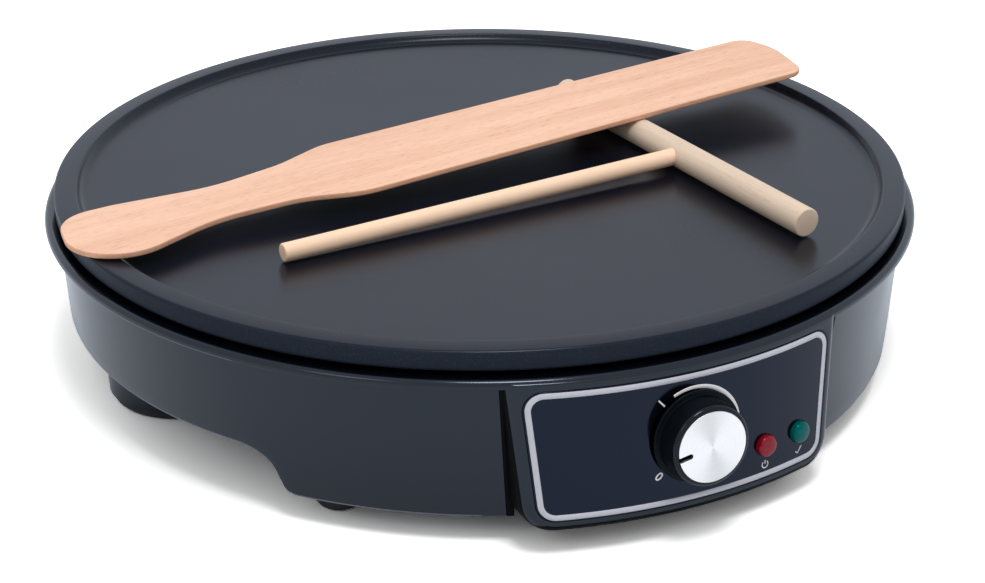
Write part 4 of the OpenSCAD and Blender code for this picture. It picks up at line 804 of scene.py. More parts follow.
def plate_tree():
    """Dished plate with a flat rim, a centring step and a groove for the element."""
    lathe_tree = tree_named("Turned piece")
    tree = geometry_tree("Dished plate")
    for name, default in (("Radius", 150 * MM), ("Rim Top", 67 * MM), ("Rim Width", 7.7 * MM),
                          ("Dish Depth", 3 * MM), ("Side Height", 6.8 * MM), ("Thickness", 5.5 * MM),
                          ("Step Radius", 139.5 * MM), ("Element Radius", 95 * MM)):
        socket(tree, name, "Float", default, low=0.0)
    socket(tree, "Segments", "Int", 256, low=3)
    socket(tree, "Material", "Material")
    size = tree.nodes.new("NodeGroupInput").outputs

    def plus(first, second):
        """Sum of two lengths."""
        return calc(tree, "ADD", first, second)

    def less(first, second):
        """Difference of two lengths."""
        return calc(tree, "SUBTRACT", first, second)

    ridge, ridge_half, groove_half = 3 * MM, 7 * MM, 3.6 * MM
    cook = less(size["Rim Top"], size["Dish Depth"])
    under = less(cook, size["Thickness"])
    inner = less(size["Radius"], size["Rim Width"])
    foot = less(inner, calc(tree, "MULTIPLY", size["Dish Depth"], 0.55))
    side = less(size["Rim Top"], size["Side Height"])
    element = less(under, ridge)
    groove = plus(element, groove_half)
    near = [plus(size["Element Radius"], reach)
            for reach in (ridge_half, groove_half, -groove_half, -ridge_half)]
    corners = [
        (0.0, cook, 0.0), (foot, cook, 3.6 * MM), (inner, size["Rim Top"], 0.9 * MM),
        (size["Radius"], size["Rim Top"], 1.0 * MM), (size["Radius"], side, 1.3 * MM),
        (plus(size["Step Radius"], 1.6 * MM), side, 0.0), (size["Step Radius"], under, 0.3 * MM),
        (near[0], under, 0.5 * MM), (near[0], element, 0.5 * MM), (near[1], element, 0.2 * MM),
        (near[1], groove, 3.55 * MM), (near[2], groove, 3.55 * MM), (near[2], element, 0.2 * MM),
        (near[3], element, 0.5 * MM), (near[3], under, 0.5 * MM), (0.0, under, 0.0),
    ]
    line = add(tree, "GeometryNodeMeshLine", {"Count": len(corners)})
    index = add(tree, "GeometryNodeInputIndex").outputs[0]
    places = add(tree, "GeometryNodeIndexSwitch", data_type="VECTOR")
    radii = add(tree, "GeometryNodeIndexSwitch", data_type="FLOAT")
    for switch in (places, radii):
        while len(switch.index_switch_items) < len(corners):
            switch.index_switch_items.new()
        tree.links.new(index, switch.inputs[0])
    for i, (r, z, bend) in enumerate(corners, start=1):
        spot = add(tree, "ShaderNodeCombineXYZ", {0: r, 2: z})
        fill(tree, places, {i: spot.outputs[0]})
        fill(tree, radii, {i: bend})
    placed = add(tree, "GeometryNodeSetPosition", {"Geometry": line.outputs[0],
                                                   "Position": places.outputs[0]})
    curve = add(tree, "GeometryNodeMeshToCurve", {0: placed.outputs[0]})
    bent = add(tree, "GeometryNodeFilletCurve", {"Curve": curve.outputs[0], "Radius": radii.outputs[0],
                                                 "Limit Radius": True, "Count": 6}, mode="POLY")
    profile = add(tree, "GeometryNodeCurveToMesh", {"Curve": bent.outputs[0]})
    lathe = add(tree, "GeometryNodeGroup", {"Geometry": profile.outputs[0], "Segments": size["Segments"],
                                            "Material": size["Material"]}, node_tree=lathe_tree)
    end_tree(tree, lathe.outputs[0], size["Material"])


def repeat_tree():
    """Sets a piece on every given point, each turned by chance about Z within a limit."""
    tree = geometry_tree("Set on points")
    socket(tree, "Piece", "Object")
    socket(tree, "Turn Limit", "Float", math.pi, low=0.0)
    socket(tree, "Seed", "Int", 3)
    socket(tree, "Material", "Material")
    given = tree.nodes.new("NodeGroupInput").outputs
    info = add(tree, "GeometryNodeObjectInfo", {"Object": given["Piece"]})
    chance = add(tree, "FunctionNodeRandomValue", {3: given["Turn Limit"], "Seed": given["Seed"]},
                 data_type="FLOAT")
    turn = add(tree, "ShaderNodeCombineXYZ", {2: chance.outputs[1]})
    points = add(tree, "GeometryNodeMeshToPoints", {0: given["Geometry"]})
    copies = add(tree, "GeometryNodeInstanceOnPoints", {"Points": points.outputs[0],
                                                        "Instance": info.outputs["Geometry"],
                                                        "Rotation": turn.outputs[0]})
    end_tree(tree, copies.outputs[0], given["Material"])


TREES = {"Turned piece": turned_tree, "Dished plate": plate_tree, "Set on points": repeat_tree}


def tree_named(name):
    """A geometry tree, built the first time that it is asked for."""
    if name not in bpy.data.node_groups:
        TREES[name]()
    return bpy.data.node_groups[name]


def run_tree(piece, tree, values):
    """Runs a tree on a piece with its named inputs, and leaves a plain mesh."""
    modifier = piece.modifiers.new(tree.name, "NODES")
    modifier.node_group = tree
    for item in tree.interface.items_tree:
        if item.item_type == "SOCKET" and item.in_out == "INPUT" and item.name in values:
            modifier[item.identifier] = values[item.name]
    return settle(piece)


def turned(name, profile, slot, segments=128, matrix=None, sharp=35.0):
    """A turned piece from (radius, height) points, placed by a matrix."""
    piece = mesh_object(name, [(r, 0.0, z) for r, z in profile], [])
    run_tree(piece, tree_named("Turned piece"), {"Segments": segments, "Material": MATERIALS[slot]})
    if matrix is not None:
        piece.data.transform(matrix)
    return clean(piece, sharp)


def repeated(name, piece, points, slot, turn=0.0, seed=3):
    """One mesh with a piece on every point."""
    spots = mesh_object(name, points, [])
    run_tree(spots, tree_named("Set on points"), {"Piece": piece, "Turn Limit": turn, "Seed": seed,
                                                  "Material": MATERIALS[slot]})
    bpy.data.objects.remove(piece)
    return clean(spots)


def ring_points(radius, degrees, z):
    """Points on a circle about the plate's axis."""
    return [(radius * math.cos(math.radians(a)), radius * math.sin(math.radians(a)), z) for a in degrees]


# ---------------------------------------------------------------- housing shapes

class PanelFace:
    """The curved face of the control panel, which leans out going down."""

    def __init__(self, panel, housing):
        """The face has its stated radius just above the flange's lower side."""
        self.panel = panel
        self.level = housing.flange_top - housing.flange_edge + 0.8 * MM
        self.tilt = math.atan(panel.face_flare)

    def radius(self, z):
        """Radius of the face at a height."""
        return self.panel.face_radius + self.panel.face_flare * (self.level - z)

    def point(self, x, z, depth=0.0):
        """Points at x and z in the front view, that far behind the face."""
        x, z = np.broadcast_arrays(np.asarray(x, float), np.asarray(z, float))
        r = self.radius(z) - depth
        return np.stack([x, -np.sqrt(r * r - x * x), z], axis=-1)

    def frame(self, x, z):
        """Matrix of the point there: X right, Y up, Z out of the face."""
        r = self.radius(z)
        return (Matrix.Rotation(math.asin(x / r), 4, "Z")
                @ Matrix.Rotation(math.pi / 2 - self.tilt, 4, "X")
                @ Matrix.Translation((0.0, z * math.cos(self.tilt) - r * math.sin(self.tilt),
                                      z * math.sin(self.tilt) + r * math.cos(self.tilt))))

    def normal(self, place):
        """Outward normal of the face at a place on it."""
        return Vector((place.x, place.y, place.xy.length * self.panel.face_flare)).normalized()

    def slope(self):
        """How much wider the block is on each side going up."""
        return (self.panel.half_top - self.panel.half_bottom) / (self.level - self.panel.bottom)

    def block(self, inset, top):
        """Front view of the block, drawn in by inset."""
        p = self.panel
        low = p.bottom + inset
        half_low = p.half_bottom + self.slope() * inset - inset
        half_top = p.half_bottom + self.slope() * (top - p.bottom) - inset
        r = max(p.corner - inset, 1 * MM)
        return rounded([(-half_low, low, r), (half_low, low, r), (half_top, top, 0),
                        (-half_top, top, 0)], 12)

    def inlay(self, inset):
        """Front view of the inlaid panel, drawn in by inset."""
        p = self.panel
        half_low = p.half_bottom - p.margin + self.slope() * p.margin - inset
        low = p.bottom + p.margin + inset
        top = p.inlay_top - inset
        half_top = half_low + self.slope() * (top - low)
        r = max(p.inlay_corner - inset, 1 * MM)
        return rounded([(-half_low, low, r), (half_low, low, r), (half_top, top, r),
                        (-half_top, top, r)], 12)

    def holes(self, lens_gap, shaft_depth, lens_depth, out):
        """Holes for the dial's shaft and both lenses, from those depths out through the face."""
        p = self.panel
        dial_height = bpy.context.scene.crepe_maker.dial.height
        holes = [(self.frame(0, dial_height), SHAFT_HOLE, -shaft_depth, out)]
        return holes + [(self.frame(x, p.lamp_height), p.lens_radius + lens_gap, -lens_depth, out)
                        for x in (p.power_x, p.ready_x)]


class FaceRays:
    """Matches convex outlines on the panel's face along rays from one centre."""

    def __init__(self, face, centre, outlines):
        """Rays through every point of the outlines, and some in between."""
        self.face = face
        self.centre = np.array(centre)
        found = [np.arctan2(*(o - self.centre).T[::-1]) for o in outlines]
        found.append(np.linspace(-math.pi, math.pi, 96, endpoint=False))
        directions = np.unique(np.round(np.concatenate(found), 6))
        self.directions = np.stack([np.cos(directions), np.sin(directions)], axis=1)

    def hit(self, outline):
        """Where the rays meet an anticlockwise outline."""
        edge = np.roll(outline, -1, axis=0) - outline
        keep = np.linalg.norm(edge, axis=1) > 1e-9
        normal = np.stack([edge[keep, 1], -edge[keep, 0]], axis=1)
        reach = np.sum(normal * (outline[keep] - self.centre), axis=1)
        speed = self.directions @ normal.T
        with np.errstate(divide="ignore", invalid="ignore"):
            steps = np.where(speed > 1e-12, reach / speed, np.inf)
        return self.centre + self.directions * steps.min(axis=1)[:, None]

    def loop(self, outline, depth):
        """An outline on the face, that far behind it."""
        return self.face.point(*self.hit(outline).T, depth)

    def disc(self, outline, depth, rings=16):
        """Rings that fill an outline from its centre out, that far behind the face."""
        flat = self.hit(outline) - self.centre
        return [self.face.point(*(self.centre + flat * t).T, depth)
                for t in np.linspace(0, 1, rings + 1)[1:]]

    def middle(self, depth):
        """The centre of the rays, that far behind the face."""
        return self.face.point(*self.centre, depth)


def smooth_max(a, b, blend):
    """The larger of two, with a soft change from one to the other."""
    share = np.maximum(blend - np.abs(a - b), 0.0) / blend
    return np.maximum(a, b) + share * share * blend / 4


def wall_distance(h, panel, turn, z, inset=0.0):
    """Distance of the wall's outer face from the axis, at a turn from -Y and a height."""
    top = h.flange_top - h.flange_edge / 2
    back = h.wall_radius - h.wall_draft * (top - z)
    front = h.front_radius - h.front_draft * (top - z)
    shift = panel.face_radius - h.front_radius
    along = shift * np.cos(turn)
    fuller = along + np.sqrt(front * front - shift * shift + along * along)
    blend = 2.5 * MM
    return smooth_max(back, fuller, blend) - inset


def skirt_edge(h, x):
    """Height of the wall's lower edge at a distance x to the side, in front."""
    rise, slope = h.skirt - h.front_skirt, math.tan(h.step_slope)
    low_bend, high_bend = h.step_bend, min(h.step_top, 0.75 * rise)
    half = math.tan(h.step_slope / 2)
    inner = h.skirt_half_width - rise / slope / 2 - low_bend * half
    outer = h.skirt_half_width + rise / slope / 2 + high_bend * half
    low_end = inner + low_bend * math.sin(h.step_slope)
    high_end = outer - high_bend * math.sin(h.step_slope)
    x = np.abs(x)
    low_reach = np.clip(x - inner, 0, low_end - inner)
    high_reach = np.clip(outer - x, 0, outer - high_end)
    low = h.front_skirt + low_bend - np.sqrt(low_bend ** 2 - low_reach ** 2)
    high = h.skirt - high_bend + np.sqrt(high_bend ** 2 - high_reach ** 2)
    line = h.front_skirt + low_bend * (1 - math.cos(h.step_slope)) + (x - low_end) * slope
    return np.where(x < low_end, low, np.where(x > high_end, high, line))


def housing_wall(h, panel, face):
    """The wall from one side of the panel block round the back to the other."""
    top = h.flange_top - 1.8 * MM
    sunk = 1.3 * MM
    front, side = 44, 60
    turns = np.radians(np.concatenate([np.linspace(front, side, 64),
                                       np.linspace(side, 360 - side, 241)[1:-1],
                                       np.linspace(360 - side, 360 - front, 64)]))
    shares = np.linspace(0, 1, 24, endpoint=False)

    def at(turn, fraction, drop, inset):
        """Heights and points of the wall there: fraction of the way down, drop above the edge."""
        z = np.full_like(turn, h.skirt)
        for _ in range(4):
            x = wall_distance(h, panel, turn, z) * np.sin(turn)
            z = np.where(np.cos(turn) > 0.1, skirt_edge(h, x), h.skirt)
        z = top + (z + drop - top) * fraction
        r = wall_distance(h, panel, turn, z, inset)
        return z, np.stack([r * np.sin(turn), -r * np.cos(turn), z], axis=1)

    def row(fraction, drop, inset):
        """Wall points from where the wall is sunk into the block, all the way round."""
        start = np.full(len(shares), math.radians(front / 2))
        for _ in range(6):
            z, points = at(start, fraction, drop, inset)
            half = panel.half_bottom + face.slope() * (z - panel.bottom) - sunk
            start = np.arcsin(np.clip(half / np.hypot(points[:, 0], points[:, 1]), 0, 1))
        near = start + (math.radians(front) - start) * shares
        every = np.concatenate([near, turns, 2 * math.pi - near[::-1]])
        return at(every, fraction, drop, inset)[1]

    rows = [row(f, h.edge, 0.0) for f in np.linspace(0, 1, 9)]
    rows += [row(1.0, up, across) for up, across in quarter(h.edge, [15, 30, 45, 60, 75, 90])]
    rows += [row(1.0, up, h.wall - across)
             for across, up in quarter(h.edge, [0, 22.5, 45, 67.5, 90])]
    rows += [row(f, h.edge, h.wall) for f in np.linspace(1, 0, 9)[1:]]
    grid = np.stack(rows)
    count, columns = grid.shape[:2]
    faces = quads(count, columns, close_rows=True)
    faces += [[j * columns + end for j in range(count)] for end in (0, columns - 1)]
    return clean(mesh_object("housing_wall", grid.reshape(-1, 3), faces), 50.0)


def flange_ring(h):
    """The flange round the top, with the lip that hangs inside the plate's step."""
    low, hole = h.flange_top - h.flange_edge, h.hole_radius
    lip_low, lip = h.flange_top - 5.8 * MM, 2.2 * MM
    profile = rounded([
        (hole, lip_low, 0), (hole, h.flange_top - 1.6 * MM, 0.5 * MM),
        (h.flange_radius - 2.3 * MM, h.flange_top, 1.2 * MM), (h.flange_radius, h.flange_top, 1.9 * MM),
        (h.flange_radius, low, 0.35 * MM), (h.wall_radius - 3 * MM, low, 0),
        (hole + lip, low - 0.8 * MM, 0), (hole + lip, lip_low, 0)], 6)
    return turned("flange_ring", np.vstack([profile, profile[:1]]), "housing_plastic", 384)


def panel_block(h, panel, face):
    """Hollow block in front, with a recess for the inlaid panel."""
    gap, soft, web = 0.1 * MM, 0.25 * MM, 2.2 * MM
    outer = face.block(0, panel.top)
    inner = face.block(panel.wall, h.flange_top - h.flange_edge - 1 * MM)
    recess = face.inlay(-gap)
    rays = FaceRays(face, (0.0, (panel.bottom + panel.inlay_top) / 2), [outer, recess])

    def back(outline):
        """An outline on the fuller front of the wall's inner side."""
        x, z = rays.hit(outline).T
        r = h.front_radius - h.front_draft * (h.flange_top - h.flange_edge / 2 - z) - h.wall
        y = -(panel.face_radius - h.front_radius) - np.sqrt(r * r - x ** 2)
        return np.stack([x, y, z], axis=1)

    floor = panel.inlay + gap
    loops = rays.disc(recess, floor)
    loops += [rays.loop(face.inlay(-gap - across), depth)
              for depth, across in quarter(soft, [0, 30, 60, 90])]
    for a in np.radians(range(0, 91, 10)):
        side, top_side = panel.edge * (1 - math.sin(a)), panel.top_edge * (1 - math.sin(a))
        loops.append(rays.loop(face.block(side, panel.top - top_side), panel.edge * (1 - math.cos(a))))
    loops += [back(outer), back(inner)]
    loops += rays.disc(inner, floor + web)[::-1]
    block = clean(stack("panel_block", loops, (rays.middle(floor), rays.middle(floor + web))), 50.0)
    return drill(block, face.holes(0.1 * MM, 20 * MM, 8 * MM, 4 * MM))


# ---------------------------------------------------------------- pieces

def build_plate(maker):
    """The coated plate, with what is cast under it."""
    s = maker.plate
    plate = mesh_object("plate", [(0, 0, 0)], [])
    run_tree(plate, tree_named("Dished plate"), {
        "Radius": s.radius, "Rim Top": s.rim_top, "Rim Width": s.rim_width, "Dish Depth": s.dish_depth,
        "Side Height": s.side_height, "Thickness": s.thickness, "Step Radius": s.step_radius,
        "Element Radius": s.element_radius, "Segments": s.segments, "Material": MATERIALS["nonstick"]})
    dress(clean(plate, 30.0), "base", "nonstick", "cooking_plate")
    # Painted reflection: the outer side gets the lighter, less glossy copy of the coating
    paint(plate, "nonstick_painted_side",
          lambda middle, normal: middle.xy.length > s.radius - 1 * MM and normal.z < 0.7)

    # Bosses of the plate screws, and pads of the element's clamps on both sides of its groove
    under = s.rim_top - s.dish_depth - s.thickness
    sunk = under + 0.4 * MM
    boss_low, boss_radius, bevel = 53 * MM, 7 * MM, 0.4 * MM
    boss = turned("boss", [(0, boss_low), (boss_radius - bevel, boss_low), (boss_radius, boss_low + bevel),
                           (boss_radius, sunk), (0, sunk)], "nonstick", 48)
    parts = [repeated("plate_bosses", boss, ring_points(BOSS_RING, BOSS_TURNS, 0), "nonstick")]
    pad_x, pad_y, corner = 15 * MM, 7 * MM, 1 * MM
    outline = rounded([(-pad_x, -pad_y, corner), (pad_x, -pad_y, corner), (pad_x, pad_y, corner),
                       (-pad_x, pad_y, corner)], 4)
    for degrees in (135, 225, 315, 45):
        place = (Matrix.Rotation(math.radians(degrees), 4, "Z")
                 @ Matrix.Translation((s.element_radius, 0, 0)))
        for side in (-1, 1):
            pad = prism("pad", outline * (0.36, 1) + (side * 9.6 * MM, 0), under - 3 * MM, sunk)
            pad.data.transform(place)
            parts.append(pad)
    dress(join("plate_pads", parts), "base", "nonstick")


def build_housing(maker):
    """The moulded housing, with a painted highlight along its lower edges and painted shade in the seam round
    the panel block.
    """
    h, panel = maker.housing, maker.panel
    face = PanelFace(panel, h)
    start, reach = 136 * MM, 20 * MM
    gland = Matrix.Translation((0, start, GLAND_HEIGHT)) @ Matrix.Rotation(-math.pi / 2, 4, "X")
    wall = drill(housing_wall(h, panel, face), [(gland, GLAND_RADIUS + 0.1 * MM, 0, reach)])
    block = panel_block(h, panel, face)
    whole = join("housing_shell", [wall, flange_ring(h), block])
    dress(whole, "base", "housing_plastic", "housing")

    low = h.flange_top - h.flange_edge

    def painted_edge_highlight(middle, normal):
        """Painted highlight lines: the flange's lower edge on the left, and the wall's lower edge."""
        if middle.y < 0 and abs(middle.x) < panel.half_top + 1.5 * panel.edge:
            return False
        if middle.z > 0.8 * h.flange_top:
            return (middle.x < -0.8 * h.flange_radius and middle.z < low + 0.36 * MM
                    and middle.xy.length > h.flange_radius - 0.4 * MM)
        outward = normal.xy.dot(middle.xy) > 0
        return outward and -0.64 < normal.z < -0.12 and middle.z < h.skirt + h.edge

    def painted_seam_shade(middle, _):
        """Painted shade in the seam round the block, behind its front edge."""
        half = panel.half_bottom + face.slope() * (middle.z - panel.bottom)
        if middle.y > 0 or abs(middle.x) > half + 0.05 * MM or middle.z > panel.top - 1.2 * MM:
            return False
        start = 0.1 * MM if middle.z < panel.bottom + panel.edge else 0.35 * panel.edge
        return face.radius(middle.z) - middle.xy.length > start and middle.xy.length > h.hole_radius

    # Painted highlight along the lower edges
    paint(whole, "housing_painted_highlight", painted_edge_highlight)
    # Painted shade in the seam round the panel block
    paint(whole, "housing_painted_shade", painted_seam_shade)


def face_solid(name, face, outline, thickness, soft):
    """A sheet that follows the panel's face inside an outline, with soft front edges."""
    rays = FaceRays(face, (0.0, outline(0)[:, 1].mean()), [outline(0)])
    loops = rays.disc(outline(soft), 0.0)
    loops += [rays.loop(outline(side), depth) for side, depth in quarter(soft, [30, 60, 90])]
    loops += rays.disc(outline(0), thickness)[::-1]
    return clean(stack(name, loops, (rays.middle(0.0), rays.middle(thickness))), 50.0)


def even_steps(line, step):
    """Points at even steps along a closed outline."""
    closed = np.vstack([line, line[:1]])
    way = np.concatenate([[0.0], np.cumsum(np.linalg.norm(np.diff(closed, axis=0), axis=1))])
    at = np.linspace(0.0, way[-1], int(way[-1] / step), endpoint=False)
    return np.stack([np.interp(at, way, closed[:, k]) for k in (0, 1)], axis=1)


def face_strip(name, face, line, half_width, height=INK, closed=False):
    """A raised line on the face along points in the front view."""
    line = np.asarray(line, float)
    ahead = np.roll(line, -1, axis=0) - np.roll(line, 1, axis=0) if closed else np.gradient(line, axis=0)
    normal = np.stack([ahead[:, 1], -ahead[:, 0]], axis=1) / np.linalg.norm(ahead, axis=1)[:, None]
    half = np.broadcast_to(half_width, len(line))[:, None]
    soft = np.minimum(height * 0.6, half)
    section = [(-half, INK_SUNK), (-half, -(height - soft)), (-(half - soft), -height),
               (half - soft, -height), (half, -(height - soft)), (half, INK_SUNK)]
    rows = [face.point(*(line + normal * side).T, np.ravel(depth) if np.ndim(depth) else depth)
            for side, depth in section]
    grid = np.stack(rows, axis=1)
    count, across = grid.shape[:2]
    faces = quads(count, across, close_rows=closed, close_columns=True)
    if not closed:
        faces += [list(range(across)), list(range((count - 1) * across, count * across))]
    return clean(mesh_object(name, grid.reshape(-1, 3), faces), 50.0)


def face_text(name, face, text, x, z, height, turn):
    """A number laid on the face with its middle at x and z, turned by an angle."""
    ink, digit_share = 0.06 * MM, 0.72
    curve = bpy.data.curves.new(name, "FONT")
    curve.body = text
    curve.size = height / digit_share
    curve.align_x, curve.align_y = "CENTER", "CENTER"
    curve.extrude, curve.offset, curve.resolution_u = ink, ink, 8
    letters = linked(name, curve)
    bpy.context.view_layer.update()
    graph = bpy.context.evaluated_depsgraph_get()
    mesh = bpy.data.meshes.new_from_object(letters.evaluated_get(graph))
    bpy.data.objects.remove(letters)
    flat = np.array([v.co for v in mesh.vertices])
    flat -= (flat.min(axis=0) + flat.max(axis=0)) / 2
    cos, sin = math.cos(turn), math.sin(turn)
    flat[:, :2] = flat[:, :2] @ np.array([[cos, sin], [-sin, cos]])
    placed = face.point(flat[:, 0] + x, flat[:, 1] + z, -flat[:, 2] - 0.02 * MM)
    mesh.vertices.foreach_set("co", placed.ravel())
    return clean(linked(name, mesh), 30.0)


def arc_points(radius, start, end, count, middle=(0.0, 0.0)):
    """Points of an arc in degrees."""
    a = np.radians(np.linspace(start, end, count))
    return np.stack([middle[0] + radius * np.cos(a), middle[1] + radius * np.sin(a)], axis=1)


def exact_shading(piece, face):
    """Shades the front of a sheet on the face by the face's own normals."""
    mesh = piece.data
    normals = [(0.0, 0.0, 0.0)] * len(mesh.loops)
    for polygon in mesh.polygons:
        if polygon.normal.dot(face.normal(polygon.center)) > 0.995:
            for i in polygon.loop_indices:
                normals[i] = face.normal(mesh.vertices[mesh.loops[i].vertex_index].co)
    mesh.normals_split_custom_set(normals)


def build_panel(maker):
    """The inlaid panel, its silver border and its marks."""
    panel, dial = maker.panel, maker.dial
    face = PanelFace(panel, maker.housing)
    sheet = face_solid("panel_inlay", face, face.inlay, panel.inlay, 0.2 * MM)
    drill(sheet, face.holes(0.2 * MM, 5 * MM, 5 * MM, 5 * MM))
    dress(sheet, "base", "panel_plastic", "control_panel")
    exact_shading(sheet, face)

    middle = even_steps(face.inlay(0.4 * MM + panel.border / 2), 0.8 * MM)
    border = face_strip("silver_border", face, middle, panel.border / 2,
                        panel.border_height + 0.02 * MM, closed=True)
    dress(border, "base", "silver_print", "panel_border")

    def on_dial(points):
        """Points round the dial's axis, as they lie on the leaning face."""
        return points * (1.0, math.cos(face.tilt)) + (0.0, dial.height)

    # Scale that swells clockwise inside the ring of its numbers
    swell = np.linspace(0.45, 1.2, 90) * MM
    arc = on_dial(arc_points(dial.mark_radius - 0.6 * MM - swell, 117, -36, len(swell)))
    marks = [face_strip("scale_arc", face, arc, swell)]
    for text, degrees, turn in (("0", 222.6, -47.4), ("1", 132.0, 42.0), ("5", -52.0, 38.0)):
        x, z = on_dial(arc_points(dial.mark_radius, degrees, degrees, 1))[0]
        marks.append(face_text("mark_" + text, face, text, x, z, dial.mark_height, math.radians(turn)))

    # Power sign under one lamp and a tick under the other
    z, half_line = panel.lamp_height - 6.6 * MM, 0.17 * MM
    ring = arc_points(1.15 * MM, 130, 410, 40, (panel.power_x, z))
    stem = [(panel.power_x, z + y * MM) for y in (0.25, 0.8, 1.5)]
    tick = [(panel.ready_x + x * MM, z + y * MM) for x, y in
            ((-1.2, 0.0), (-0.8, -0.4), (-0.4, -0.8), (0.2, -0.1), (0.8, 0.6), (1.4, 1.3))]
    marks += [face_strip(name, face, line, half_line) for name, line in
              (("power_ring", ring), ("power_stem", stem), ("ready_tick", tick))]
    dress(join("panel_marks", marks), "base", "silver_print", material="white_print")


def dial_profile(d, floor):
    """Half section of the dial: its cap's seat, a slim body, a thin skirt and the hub inside."""
    top = d.depth - 0.3 * MM
    seat = d.cap_radius + 0.1 * MM
    wall, ceiling = 2.2 * MM, d.depth - 3 * MM
    skirt_low, skirt_high = 0.6 * MM, 1.4 * MM
    hub, bore, hub_low = 5 * MM, 3.1 * MM, 0.8 * MM
    return rounded([
        (0, floor, 0), (seat, floor, 0), (seat, top, 0.15 * MM),
        (d.front_radius, top, 1.3 * MM), (d.front_radius + 0.5 * MM, 1.9 * MM, 0.5 * MM),
        (d.front_radius + 0.3 * MM, 1.5 * MM, 0.2 * MM), (d.base_radius, skirt_high, 0.3 * MM),
        (d.base_radius, skirt_low, 0.3 * MM), (d.base_radius - wall, skirt_low, 0.3 * MM),
        (d.front_radius - wall, ceiling, 0.8 * MM), (hub, ceiling, 0), (hub, hub_low, 0.3 * MM),
        (bore, hub_low, 0), (bore, floor - wall, 0), (0, floor - wall, 0)], 8)


def pointer_groove(d, low, high, reach):
    """The shape of the pointer's channel, with a round inner end, out to reach."""
    half = d.pointer_width / 2
    inner = -d.cap_radius + d.pointer_length - half
    outline = np.vstack([arc_points(half, -90, 90, 24, (inner, 0)), [(reach, half), (reach, -half)]])
    return prism("groove", outline, low, high)


def wrap_turned(piece, radius):
    """Adds a UV map of turn and distance from the axis, for the finish of the lathe."""
    mesh = piece.data
    wrap = mesh.uv_layers.new(name="turned")
    for polygon in mesh.polygons:
        corners = [mesh.vertices[mesh.loops[i].vertex_index].co for i in polygon.loop_indices]
        middle = math.atan2(sum(c.y for c in corners), sum(c.x for c in corners))
        for i, corner in zip(polygon.loop_indices, corners):
            turn = math.atan2(corner.y, corner.x) if corner.xy.length > 1e-6 else middle
            turn += 2 * math.pi * round((middle - turn) / (2 * math.pi))
            wrap.data[i].uv = (turn / (2 * math.pi) + 1.0, corner.xy.length / radius)


def build_dial(maker):
    """The dial and its spun cap, with the pointer's groove through both."""
    d = maker.dial
    face = PanelFace(maker.panel, maker.housing)
    place = face.frame(0, d.height) @ Matrix.Rotation(d.pointer - math.pi, 4, "Z")
    floor, rim = d.depth - d.cap_thickness, d.cap_radius

    knob = turned("dial", dial_profile(d, floor), "dial_black", 256)
    carve(knob, pointer_groove(d, floor - 0.6 * MM, floor + 0.2 * MM, -rim + 0.05 * MM))
    dress(clean(knob), "dial", "dial_black", "dial_knob")
    paint(knob, "dial_polish",
          lambda middle, _: middle.z > d.depth - 2 * MM and middle.xy.length > rim)
    knob.data.transform(place)

    soft = 0.25 * MM
    edge = [(rim - soft + soft * math.cos(a), d.depth - soft + soft * math.sin(a))
            for a in np.radians([0, 22.5, 45, 67.5, 90])]
    rings = [(rim * t, d.depth) for t in (0.9, 0.75, 0.6, 0.45, 0.3, 0.15, 0.05, 0.0)]
    cap = turned("dial_cap", [(0, floor), (rim, floor)] + edge + rings, "spun_aluminium", 192)
    carve(cap, pointer_groove(d, floor - 1 * MM, d.depth + 1 * MM, -rim - 2 * MM))
    wrap_turned(clean(cap), rim)
    cap.data.transform(place)
    dress(cap, "dial", "spun_aluminium", "knob_cap")


def build_lamps(maker):
    """The hollow lenses of both lamps, with domed tops."""
    panel = maker.panel
    face = PanelFace(panel, maker.housing)
    r, top = panel.lens_radius, panel.lens_height
    wall, reach, bevel, roof, bend = 0.9 * MM, 6 * MM, 0.2 * MM, 0.6 * MM, 1.1 * MM
    crown = [(r * k / 6, top - 0.5 * MM * (k / 6) ** 2) for k in range(5)]
    shoulder = [(r - bend * (1 - math.sin(a)), top - 1.38 * MM + bend * math.cos(a))
                for a in np.radians(range(20, 91, 10))]
    profile = crown + shoulder + [(r, 0.2 * MM), (r, bevel - reach), (r - bevel, -reach),
                                  (r - wall, -reach), (r - wall, roof), (0, roof)]
    for name, x, slot, node in (("power_dome", panel.power_x, "red_lens", "power_lens"),
                                ("ready_dome", panel.ready_x, "green_lens", "ready_lens")):
        lens = turned(name, profile, slot, 64, face.frame(x, panel.lamp_height), 50.0)
        dress(lens, "base", slot, node)


def softened(node):
    """A copy of a CAD node, merged and shaded smooth over its curved faces."""
    mesh = frame["nodes"][node].data.copy()
    mesh.name = node + "_finish"
    piece = linked(mesh.name, mesh)
    work = bmesh.new()
    work.from_mesh(mesh)
    bmesh.ops.remove_doubles(work, verts=work.verts, dist=2e-6)
    bmesh.ops.dissolve_limit(work, angle_limit=math.radians(0.4), verts=work.verts, edges=work.edges)
    work.to_mesh(mesh)
    work.free()
    return clean(piece, 32.0, outward=False)


def pan_screw(radius, reach):
    """A pan-head screw pointing up, its head's seat at Z = 0, with a cross recess."""
    head, depth = 2 * radius, 1.1 * radius
    profile = [(0, -depth)] + [(head * math.sin(a), -depth * 0.35 - depth * 0.65 * math.cos(a))
                               for a in np.radians((20, 40, 60, 75, 90))]
    profile += [(head, 0), (radius, 0), (radius, reach - 0.4 * radius), (0.6 * radius, reach), (0, reach)]
    screw = turned("screw", profile, "zinc_steel", 40)
    wide, thin = 1.15 * radius, 0.2 * radius
    outline = np.array([(-wide, -thin), (wide, -thin), (wide, thin), (-wide, thin)])
    for turn in (0.0, math.pi / 2):
        loops = [np.column_stack([outline * t, np.full(4, z)]) for z, t in
                 ((-depth * 1.2, 1.0), (-depth * 0.35, 0.7))]
        cutter = clean(stack("cross", loops))
        cutter.data.transform(Matrix.Rotation(turn, 4, "Z"))
        carve(screw, cutter)
    return screw


